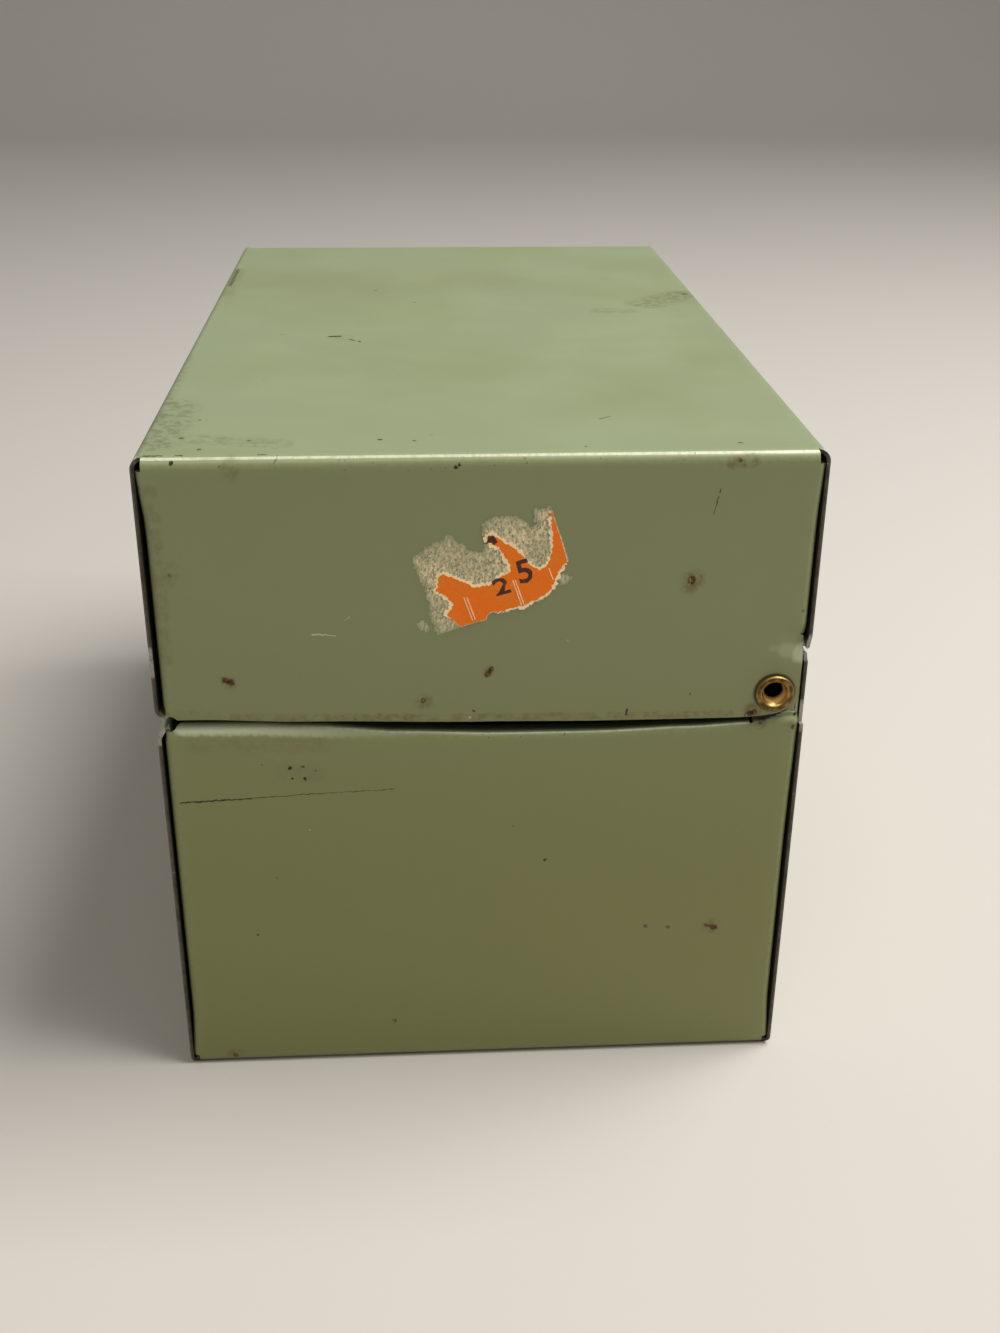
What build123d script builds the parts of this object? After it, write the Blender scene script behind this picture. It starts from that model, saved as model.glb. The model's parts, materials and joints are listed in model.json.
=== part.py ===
from build123d import *
import math
import os

# Recipe box of folded sheet steel: a body, a lid that turns on two brass eyelets,
# and what is left of a paper price label on its right end.
# The long side lies along X, the front faces -Y, and the box stands on the XY plane.

# Overall size over the steel
box_length = 137.0
box_depth = 81.0
box_height = 87.0
sheet = 0.45

# Bends, as outer radii
end_bend = 1.5
side_bend = 1.2
tab_bend = 1.0
lip_bend = 0.8

# Height at which the lid meets the body at the front and ends, and at the back
front_split = 52.0
back_split = 61.7
split_gap = 0.6

# Tabs at the ends' upright edges, folded inside the front and back panels
tab_reach = 9.0
tab_relief = 0.3

# Hems on the front and back panels: bevelled inward, then folded back inside
hem_rise = 1.6
hem_inset = 0.95
hem_return_inset = 1.45
hem_depth = 4.6
hem_end_gap = 0.35
hem_bevel_bend = 0.8
hem_edge_bend = 0.3
hem_return_bend = 0.6

# Lips that stiffen the ends where the lid meets the body
lip_reach = 2.6
lip_mitre_start = 0.25

# Hinge: pivot, the lid's rounded tongue and the body's inset ear
pivot_inset = 4.1
pivot_rise = 3.4
tongue_overhang = 3.1
tongue_rise = 0.4
tongue_corner = 3.0
tongue_run = 2.6
ear_reach = 2.2
ear_top_radius = 3.4
ear_rise = 4.6
ear_clearance = 0.2
joggle_height = 1.1
joggle_bend = 0.35
back_step_drop = 0.6

# Brass eyelet
eyelet_bore = 2.5
eyelet_barrel = 3.1
eyelet_flange = 4.9
eyelet_clinch = 4.4
eyelet_crown = 0.6
eyelet_clinch_crown = 0.4
clinch_bevel = 0.2
lid_hole_clearance = 0.05
ear_hole_clearance = 0.02
flange_clearance = 0.06

# Price label: a torn strip of paper, 17.9 by 12 mm, stuck on at a slant
label_centre_y = 0.8
label_drop = 14.0
label_slant = 17.0
label_thickness = 0.1

# Places worked out from the sizes above
half_length = box_length / 2
half_depth = box_depth / 2
mid = sheet / 2
panel_inside = half_depth - sheet
tab_middle = panel_inside - mid
end_flat = panel_inside - tab_bend
end_middle = half_length - mid
lid_edge = front_split + split_gap / 2
body_edge = front_split - split_gap / 2
lid_back_edge = back_split + split_gap / 2
body_back_edge = back_split - split_gap / 2
ear_outside = half_length - sheet - ear_clearance
ear_middle = ear_outside - mid
ear_inside = ear_outside - sheet
pivot_y = half_depth - pivot_inset
pivot_z = lid_edge + pivot_rise
tongue_start = pivot_y - tongue_run
tongue_back = pivot_y + tongue_overhang
ear_front = pivot_y - ear_reach
ear_top = pivot_z + ear_rise
tongue_edge = lid_edge + tongue_rise
ear_foot = body_edge - lip_bend
ear_start = ear_foot + joggle_height
hem_clear = half_depth - mid - hem_inset
# Strips that join are drawn this far into each other
overlap = 0.2


def hem(side, edge, into_panel):
    """Middle line of a hem, from its panel round to its free edge.

    side is -1 at the front and 1 at the back; into_panel is 1 where the panel
    rises from the hem and -1 where it hangs below it.
    """
    panel = half_depth - mid
    return [
        (side * panel, edge + into_panel * hem_rise),
        (side * (panel - hem_inset), edge),
        (side * (panel - hem_return_inset), edge + into_panel * hem_rise),
        (side * (panel - hem_return_inset), edge + into_panel * hem_depth),
    ]


def wrapper(top_or_bottom, front_edge, back_edge, into_panel):
    """Middle line of one shell's long strip: hem, panel, top or bottom, panel, hem."""
    panel = half_depth - mid
    front = hem(-1, front_edge, into_panel)
    back = hem(1, back_edge, into_panel)
    corners = [(-panel, top_or_bottom), (panel, top_or_bottom)]
    return front[::-1] + corners + back


hem_radii = [hem_return_bend, hem_edge_bend, hem_bevel_bend]
wrapper_radii = hem_radii + [side_bend - mid] * 2 + hem_radii[::-1]


def end_half(side, low, high):
    """Half of an end panel with its tab; side is -1 for the front half and 1 for the back."""
    with BuildPart() as half:
        with BuildSketch(Plane.XY.offset(low)):
            with BuildLine():
                FilletPolyline(
                    (end_middle, -side * overlap),
                    (end_middle, side * tab_middle),
                    (half_length - tab_reach, side * tab_middle),
                    radius=tab_bend - mid,
                )
            trace(line_width=sheet)
        extrude(amount=high - low)
    return half.part


def lip(edge, into_panel, start, end):
    """One end's inward lip, mitred at the front, from y = start to y = end."""
    with BuildPart() as strip:
        with BuildSketch(Plane.XZ.offset(-start)):
            with BuildLine():
                FilletPolyline(
                    (end_middle, edge + into_panel * (lip_bend + overlap)),
                    (end_middle, edge + into_panel * mid),
                    (half_length - lip_reach, edge + into_panel * mid),
                    radius=lip_bend - mid,
                )
            trace(line_width=sheet)
        extrude(amount=start - end)
        corner = half_length - lip_mitre_start
        with BuildSketch(Plane.XY.offset(edge - lip_bend - 2 * overlap)):
            with BuildLine():
                Polyline(
                    (corner, start - overlap),
                    (corner, start),
                    (corner - lip_reach, start + lip_reach),
                    (corner - lip_reach, start - overlap),
                    close=True,
                )
            make_face()
        extrude(amount=2 * lip_bend + 4 * overlap, mode=Mode.SUBTRACT)
    return strip.part


# The lid, folded from one blank: the right half is built and mirrored
lid_lip = lip(lid_edge, 1, -end_flat, tongue_start)
lid_front_tab = lid_edge + hem_rise + tab_relief
lid_back_tab = lid_back_edge + hem_rise + tab_relief
lid_front_half = end_half(-1, lid_front_tab, box_height - end_bend)
lid_back_half = end_half(1, lid_back_tab, box_height - end_bend)
with BuildPart() as lid_shell:
    with BuildSketch(Plane.YZ):
        with BuildLine():
            FilletPolyline(
                *wrapper(box_height - mid, lid_edge, lid_back_edge, 1),
                radius=wrapper_radii,
            )
        trace(line_width=sheet)
    extrude(amount=half_length)
    with BuildSketch(Plane.XZ) as lid_outline:
        with Locations((0, box_height / 2)):
            Rectangle(box_length, box_height)
        fillet(lid_outline.vertices().group_by(Axis.Y)[-1], radius=end_bend)
    extrude(amount=half_depth, both=True, mode=Mode.INTERSECT)
    # The folded-back part of each hem stops short of the end panel
    with Locations((half_length, 0, 0)):
        Box(
            2 * (sheet + hem_end_gap),
            2 * hem_clear,
            box_height - end_bend,
            align=(Align.CENTER, Align.CENTER, Align.MIN),
            mode=Mode.SUBTRACT,
        )
    # Bend from the top down into the end panel
    with BuildSketch(Plane.XZ):
        with BuildLine():
            FilletPolyline(
                (half_length - end_bend - overlap, box_height - mid),
                (end_middle, box_height - mid),
                (end_middle, box_height - end_bend - overlap),
                radius=end_bend - mid,
            )
        trace(line_width=sheet)
    extrude(amount=panel_inside, both=True)
    # End panel with its tabs, which stop short of the hems
    add(lid_front_half)
    add(lid_back_half)
    # Rest of the end panel down to its rounded tongue and its lip
    with BuildSketch(Plane.YZ.offset(half_length - sheet)):
        with BuildLine():
            Polyline(
                (-end_flat, lid_back_tab),
                (-end_flat, lid_edge + lip_bend),
                (tongue_start, lid_edge + lip_bend),
                (tongue_start, tongue_edge),
                (tongue_back - tongue_corner, tongue_edge),
            )
            tongue = CenterArc(
                (tongue_back - tongue_corner, tongue_edge + tongue_corner),
                tongue_corner,
                -90,
                90,
            )
            Polyline(
                tongue @ 1,
                (tongue_back, lid_back_tab),
                (-end_flat, lid_back_tab),
            )
        make_face()
    extrude(amount=sheet)
    add(lid_lip)
    with Locations(Plane.YZ.offset(end_middle)):
        with Locations((pivot_y, pivot_z)):
            Hole(eyelet_barrel / 2 + lid_hole_clearance, depth=sheet)
    mirror(about=Plane.YZ)
lid_shell.part.label = "lid_shell"

# The body, folded from one blank in the same way
body_lip = lip(body_edge, -1, -end_flat, tongue_start)
body_front_half = end_half(-1, end_bend, body_edge - hem_rise - tab_relief)
body_back_half = end_half(1, end_bend, ear_foot)
with BuildPart() as body_shell:
    with BuildSketch(Plane.YZ):
        with BuildLine():
            FilletPolyline(
                *wrapper(mid, body_edge, body_back_edge, -1),
                radius=wrapper_radii,
            )
        trace(line_width=sheet)
    extrude(amount=half_length)
    with BuildSketch(Plane.XZ) as body_outline:
        with Locations((0, box_height / 2)):
            Rectangle(box_length, box_height)
        fillet(body_outline.vertices().group_by(Axis.Y)[0], radius=end_bend)
    extrude(amount=half_depth, both=True, mode=Mode.INTERSECT)
    # The folded-back part of each hem stops short of the end panel
    with Locations((half_length, 0, end_bend)):
        Box(
            2 * (sheet + hem_end_gap),
            2 * hem_clear,
            box_height,
            align=(Align.CENTER, Align.CENTER, Align.MIN),
            mode=Mode.SUBTRACT,
        )
    # Above the ends, the back panel steps in so that the lid's ends can swing past it
    with Locations((half_length, half_depth, body_edge - back_step_drop)):
        Box(
            2 * (sheet + hem_end_gap),
            2 * (half_depth - hem_clear),
            box_height,
            align=(Align.CENTER, Align.CENTER, Align.MIN),
            mode=Mode.SUBTRACT,
        )
    # Bend from the bottom up into the end panel
    with BuildSketch(Plane.XZ):
        with BuildLine():
            FilletPolyline(
                (half_length - end_bend - overlap, mid),
                (end_middle, mid),
                (end_middle, end_bend + overlap),
                radius=end_bend - mid,
            )
        trace(line_width=sheet)
    extrude(amount=panel_inside, both=True)
    # End panel with its tabs, of which the front one stops short of the hem
    add(body_front_half)
    add(body_back_half)
    # Rest of the end panel up to its lip
    with BuildSketch(Plane.YZ.offset(half_length - sheet)):
        with BuildLine():
            Polyline(
                (-end_flat, end_bend),
                (end_flat, end_bend),
                (end_flat, ear_foot),
                (-end_flat, ear_foot),
                close=True,
            )
        make_face()
    extrude(amount=sheet)
    add(body_lip)
    # Joggle that sets the hinge ear in behind the lid's end panel
    with BuildSketch(Plane.XZ.offset(-ear_front)):
        with BuildLine():
            FilletPolyline(
                (end_middle, ear_foot - 2 * overlap),
                (end_middle, ear_foot + overlap),
                (ear_middle, ear_start),
                (ear_middle, ear_start + 2 * overlap),
                radius=joggle_bend,
            )
        trace(line_width=sheet)
    extrude(amount=ear_front - end_flat)
    # Ear, with its own tab along the inside of the back panel
    with BuildSketch(Plane.XY.offset(ear_start)):
        with BuildLine():
            FilletPolyline(
                (ear_middle, ear_front),
                (ear_middle, tab_middle),
                (half_length - tab_reach, tab_middle),
                radius=tab_bend - mid,
            )
        trace(line_width=sheet)
    extrude(amount=ear_top - ear_start)
    ear_peak = (ear_middle, ear_front, ear_top)
    ear_corner = body_shell.edges().filter_by(Axis.X).sort_by_distance(ear_peak)[0]
    fillet(ear_corner, radius=ear_top_radius)
    with Locations(Plane.YZ.offset(ear_middle)):
        with Locations((pivot_y, pivot_z)):
            Hole(eyelet_barrel / 2 + ear_hole_clearance, depth=sheet)
    mirror(about=Plane.YZ)
body_shell.part.label = "body_shell"


def eyelet(side):
    """One rolled brass eyelet; side is 1 at the right end and -1 at the left."""
    bore = eyelet_bore / 2
    barrel = eyelet_barrel / 2
    seat = half_length + flange_clearance
    with BuildPart() as rolled:
        # Section across the barrel, drawn outward from the pivot's axis
        with BuildSketch(Plane(origin=(0, pivot_y, pivot_z), x_dir=(0, 0, 1), z_dir=(0, 1, 0))):
            with BuildLine():
                Line((bore, ear_inside), (bore, seat))
                ThreePointArc(
                    (bore, seat),
                    ((bore + eyelet_flange / 2) / 2, seat + eyelet_crown),
                    (eyelet_flange / 2, seat),
                )
                Polyline(
                    (eyelet_flange / 2, seat),
                    (barrel, seat),
                    (barrel, ear_inside),
                    (eyelet_clinch / 2, ear_inside),
                )
                Polyline(
                    (eyelet_clinch / 2, ear_inside),
                    (eyelet_clinch / 2 - clinch_bevel, ear_inside - eyelet_clinch_crown),
                    (bore + clinch_bevel, ear_inside - eyelet_clinch_crown),
                    (bore, ear_inside),
                )
            make_face()
        revolve(axis=Axis((0, pivot_y, pivot_z), (1, 0, 0)))
        if side < 0:
            mirror(about=Plane.YZ, mode=Mode.REPLACE)
    return rolled.part


hinge_eyelet_right = eyelet(1)
hinge_eyelet_right.label = "hinge_eyelet_right"
hinge_eyelet_left = eyelet(-1)
hinge_eyelet_left.label = "hinge_eyelet_left"

# The label's outline about its centre, before it is slanted: straight below, torn above
label_outline = [
    (-8.8, -6.3),
    (-0.2, -6.0),
    (5.5, -5.6),
    (9.1, -1.8),
    (9.0, 5.7),
    (7.8, 5.7),
    (6.1, 2.6),
    (4.0, 5.9),
    (0.1, 6.0),
    (0.0, 2.4),
    (-2.1, 3.5),
    (-2.7, 5.0),
    (-7.3, 4.8),
    (-8.9, 3.9),
]
label_plane = Plane(
    origin=(half_length, label_centre_y, box_height - label_drop),
    x_dir=(0, math.cos(math.radians(label_slant)), math.sin(math.radians(label_slant))),
    z_dir=(1, 0, 0),
)
with BuildPart() as price_label:
    with BuildSketch(label_plane):
        with BuildLine():
            Polyline(*label_outline, close=True)
        make_face()
    extrude(amount=label_thickness)
price_label.part.label = "price_label"

os.makedirs("parts", exist_ok=True)
export_step(lid_shell.part, "parts/lid_shell.step")
export_step(body_shell.part, "parts/body_shell.step")
export_step(hinge_eyelet_right, "parts/hinge_eyelet_right.step")
export_step(hinge_eyelet_left, "parts/hinge_eyelet_left.step")
export_step(price_label.part, "parts/price_label.step")
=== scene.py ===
import json
import math
import random

import bmesh
import bpy
from mathutils import Matrix, Vector, noise
from mathutils.geometry import delaunay_2d_cdt


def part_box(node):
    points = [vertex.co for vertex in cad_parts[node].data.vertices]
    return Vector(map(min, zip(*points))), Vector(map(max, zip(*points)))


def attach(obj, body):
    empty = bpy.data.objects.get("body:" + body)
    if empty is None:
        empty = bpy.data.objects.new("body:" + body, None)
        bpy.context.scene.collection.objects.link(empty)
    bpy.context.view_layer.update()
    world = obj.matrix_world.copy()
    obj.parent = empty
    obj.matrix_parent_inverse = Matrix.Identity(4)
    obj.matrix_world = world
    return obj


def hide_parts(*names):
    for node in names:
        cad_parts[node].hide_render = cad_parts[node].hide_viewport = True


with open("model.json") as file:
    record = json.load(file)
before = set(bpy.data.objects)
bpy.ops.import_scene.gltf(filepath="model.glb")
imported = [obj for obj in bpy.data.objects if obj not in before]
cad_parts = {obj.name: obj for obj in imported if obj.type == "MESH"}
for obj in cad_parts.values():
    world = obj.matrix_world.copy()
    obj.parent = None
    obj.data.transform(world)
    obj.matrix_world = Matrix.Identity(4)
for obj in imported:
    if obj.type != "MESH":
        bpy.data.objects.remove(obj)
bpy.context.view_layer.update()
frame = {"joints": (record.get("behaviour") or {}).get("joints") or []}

bl_info = {
    "name": "Recipe box",
    "version": (1, 0, 0),
    "blender": (4, 5, 0),
    "location": "3D View > Sidebar > Recipe Box",
    "description": "Dresses a folded sheet-steel recipe box in worn enamel",
    "category": "Object",
}

MM = 0.001

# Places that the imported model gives
lid_low, lid_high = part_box("lid_shell")
_, body_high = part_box("body_shell")
eyelet_low, eyelet_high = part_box("hinge_eyelet_right")
half_length = lid_high.x
half_depth = lid_high.y
box_height = lid_high.z
lid_edge = lid_low.z
body_back_edge = body_high.z
pivot = Vector(frame["joints"][0]["pos_m"])

# Sizes of the blanks and the pins that a user wouldn't change
PIN_RADIUS = 1.56 * MM
PIN_HOLE_LID = 1.6 * MM
PIN_HOLE_EAR = 1.57 * MM
PIN_HOLE_POINTS = 32
BEND_POINTS = 8  # points round each upright bend
WELD = 0.02 * MM  # points closer than this become one
PATCH_STEP = 0.7 * MM  # spacing of the points round a hinge hole
TONGUE_GAP = 0.2 * MM  # between the lid's tongue and the body's ear
TINY = 1e-6  # slack when two places are compared


def length(name, description, mm):
    """A length among the settings, given in millimetres."""
    return bpy.props.FloatProperty(name=name, description=description, default=mm * MM, unit="LENGTH")


def colour(name, description, *default):
    """A colour among the settings."""
    return bpy.props.FloatVectorProperty(name=name, description=description, default=default, subtype="COLOR")


def number(name, description, default, subtype="NONE"):
    """Any other number among the settings."""
    return bpy.props.FloatProperty(name=name, description=description, default=default, subtype=subtype)


class RecipeBoxSizes(bpy.types.PropertyGroup):
    """Sizes of the folded steel"""

    sheet: length("Sheet", "Thickness of the steel", 0.45)
    end_bend: length("End bend", "Outer radius where the ends fold", 1.5)
    side_bend: length("Side bend", "Outer radius along the long sides", 1.2)
    tab_bend: length("Tab bend", "Outer radius where the tabs turn in", 1.0)
    tab_reach: length("Tab reach", "Length of the tabs behind the long sides", 9.0)
    split_gap: length("Split gap", "Gap between the lid and the body", 0.6)
    lip_bend: length("Lip bend", "Outer radius where the lips turn in", 0.8)
    lip_reach: length("Lip reach", "How far the ends' lips turn in", 2.6)
    waviness: length("Waviness", "How far the flat panels stray from flat", 0.12)


class RecipeBoxColours(bpy.types.PropertyGroup):
    """Colours of the finishes"""

    enamel: colour("Enamel", "Sage green enamel", 0.268, 0.325, 0.190)
    # The aged colour also serves as painted shade on the sides, more towards the bottom
    aged: colour("Aged enamel", "Enamel that has yellowed", 0.200, 0.205, 0.062)
    rust: colour("Rust", "Rust in the chips", 0.078, 0.030, 0.004)
    stain: colour("Stain", "Rust stain round the chips", 0.150, 0.100, 0.028)
    # Grime also serves as painted shade: in the grooves, round the eyelet and deep in its bore
    grime_and_shade: colour("Grime", "Dirt in the folds", 0.018, 0.014, 0.009)
    steel: colour("Steel", "Bare steel", 0.48, 0.47, 0.40)
    brass: colour("Brass", "Bright brass", 0.55, 0.38, 0.13)
    tarnish: colour("Tarnish", "Tarnished brass", 0.115, 0.060, 0.016)
    orange: colour("Orange", "Orange print on the label", 1.0, 0.200, 0.008)
    paper: colour("Paper", "Torn paper of the label", 0.92, 0.76, 0.48)
    ink: colour("Ink", "Stamped figures", 0.055, 0.014, 0.006)
    floor: colour("Floor", "Pale studio floor", 0.60, 0.58, 0.555)


class RecipeBoxStage(bpy.types.PropertyGroup):
    """Camera and lamps"""

    lens: number("Lens", "Focal length in millimetres", 40.26)
    place: bpy.props.FloatVectorProperty(
        name="Camera", description="Where the camera stands", subtype="TRANSLATION",
        default=(0.2334, -0.0084, 0.1388),
    )
    turn: number("Turn", "Camera's turn about the vertical", math.radians(86.42), "ANGLE")
    tilt: number("Tilt", "Camera's tilt up from straight down", math.radians(64.52), "ANGLE")
    roll: number("Roll", "Camera's roll about its own axis", math.radians(0.39), "ANGLE")
    key_power: number("Key lamp", "Power of the key lamp", 9.3, "POWER")
    fill_power: number("Fill lamp", "Power of the fill lamp", 0.8, "POWER")
    sky: number("Room light", "Strength of the light from all round", 0.25)


def smooth(value, low, high):
    """0 below low, 1 above high, and an even curve between them."""
    t = min(1.0, max(0.0, (value - low) / (high - low)))
    return t * t * (3 - 2 * t)


def along(value, stops):
    """Value of a smooth line through (place, height) stops."""
    if value <= stops[0][0]:
        return stops[0][1]
    for (low, first), (high, last) in zip(stops, stops[1:]):
        if value <= high:
            return first + (last - first) * smooth(value, low, high)
    return stops[-1][1]


def stations(low, high, spacing, margin=0.0):
    """Places from low to high, at most spacing apart; a margin adds one more close to each end."""
    start, stop = low + margin, high - margin
    count = max(1, math.ceil(abs(stop - start) / spacing - 1e-6))
    places = [start + (stop - start) * i / count for i in range(count + 1)]
    return [low] + places + [high] if margin else places


def folded_line(corners, radii, spacing, bend_step=math.radians(11.25)):
    """Middle line of a folded strip, with a round bend at each corner."""
    corners = [Vector(c) for c in corners]
    runs = [[corners[0]]]
    for before, corner, after, radius in zip(corners, corners[1:], corners[2:], radii):
        back, ahead = (before - corner).normalized(), (after - corner).normalized()
        turn = math.pi - back.angle(ahead)
        if turn < 0.01:
            runs.append([corner])
            continue
        reach = radius * math.tan(turn / 2)
        centre = corner + (back + ahead).normalized() * (radius / math.cos(turn / 2))
        start = corner + back * reach - centre
        end = corner + ahead * reach - centre
        steps = max(3, round(turn / bend_step))
        parts = [i / steps for i in range(steps + 1)]
        runs.append([
            centre + (start * math.sin((1 - t) * turn) + end * math.sin(t * turn)) / math.sin(turn)
            for t in parts
        ])
    runs.append([corners[-1]])
    line = list(runs[0])
    for run in runs[1:]:
        start, end = line[-1], run[0]
        length = (end - start).length
        margin = 0.35 * MM if length > 1.5 * MM else 0.0
        line += [start.lerp(end, d / length) for d in stations(0.0, length, spacing, margin)[1:-1]]
        line += run
    return line


def add_grid(bm, rows, keep=lambda row, column: True, groove=None):
    """Adds faces over rows of points, where keep allows them; a last function gives each point's painted
    shade.
    """
    verts = [[bm.verts.new(p) for p in row] for row in rows]
    if groove:
        layer = bm.verts.layers.float["groove"]
        for r, row in enumerate(verts):
            for c, vert in enumerate(row):
                vert[layer] = groove(r, c)
    for r in range(len(rows) - 1):
        for c in range(len(rows[r]) - 1):
            if keep(r, c):
                bm.faces.new((verts[r][c], verts[r][c + 1], verts[r + 1][c + 1], verts[r + 1][c]))


def encloses(outline, point):
    """True where a 2D outline goes round the point."""
    found = False
    for a, b in zip(outline, outline[1:] + outline[:1]):
        if (a.y > point.y) != (b.y > point.y):
            found ^= point.x < a.x + (b.x - a.x) * (point.y - a.y) / (b.y - a.y)
    return found


def points_inside(outline, spacing, clear):
    """Points of an even grid inside a 2D outline, where clear allows them."""
    xs, ys = [p.x for p in outline], [p.y for p in outline]
    columns, rows = stations(min(xs), max(xs), spacing), stations(min(ys), max(ys), spacing)
    places = [Vector((x, y)) for x in columns for y in rows]
    return [p for p in places if encloses(outline, p) and clear(p)]


def triangulated(rings, inner):
    """Triangles between closed 2D rings, over the points inside them: their points and corners."""
    points, edges = [], []
    for ring in rings:
        first = len(points)
        points += ring
        edges += [(first + i, first + (i + 1) % len(ring)) for i in range(len(ring))]
    found, _, faces, _, _, _ = delaunay_2d_cdt(points + inner, edges, [], 1, 1e-5)
    return found, faces


def add_patch(bm, outline, hole, place):
    """Fills a flat outline that has one round hole; place turns its 2D points into 3D ones."""
    centre = sum(hole, Vector((0.0, 0.0))) / len(hole)
    hole_radius = (hole[0] - centre).length
    margin = PATCH_STEP * 0.45

    def clear(point):
        for a, b in zip(outline, outline[1:] + outline[:1]):
            edge = b - a
            share = min(1.0, max(0.0, (point - a).dot(edge) / edge.length_squared))
            if (a + edge * share - point).length < margin:
                return False
        return (point - centre).length > hole_radius + margin

    # The points are scaled up so that the triangulation works well above its own tolerance
    rings = [[p / MM for p in ring] for ring in (outline, hole)]
    found, faces = triangulated(rings, [p / MM for p in points_inside(outline, PATCH_STEP, clear)])
    verts = [bm.verts.new(place(p * MM)) for p in found]
    for face in faces:
        middle = sum((found[i] for i in face), Vector((0.0, 0.0))) / len(face)
        if (middle * MM - centre).length > hole_radius * 0.98:
            bm.faces.new([verts[i] for i in face])


def circle(centre, radius):
    """Points of a hinge hole about a 2D centre."""
    turns = [2 * math.pi * i / PIN_HOLE_POINTS for i in range(PIN_HOLE_POINTS)]
    return [centre + Vector((math.cos(a), math.sin(a))) * radius for a in turns]


def rounding(centre, radius, side):
    """Points of a rounded corner, from straight past its 2D centre round to one side."""
    turns = [math.pi / 2 * i / 10 for i in range(1, 11)]
    return [centre + Vector((side * math.sin(a), math.cos(a))) * radius for a in turns]


def nearest(places, place):
    """Index of the nearest of several places."""
    return min(range(len(places)), key=lambda i: abs(places[i] - place))


def link(name, data):
    """A new object in the scene that shows the data."""
    piece = bpy.data.objects.new(name, data)
    bpy.context.scene.collection.objects.link(piece)
    return piece


def piece_from(bm, name, material, sharp_angle):
    """A new object from a finished bmesh, shaded smooth apart from sharp edges."""
    bmesh.ops.recalc_face_normals(bm, faces=bm.faces)
    mesh = bpy.data.meshes.new(name)
    bm.to_mesh(mesh)
    bm.free()
    mesh.materials.append(material)
    sharpen(mesh, math.radians(sharp_angle))
    return link(name, mesh)


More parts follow.
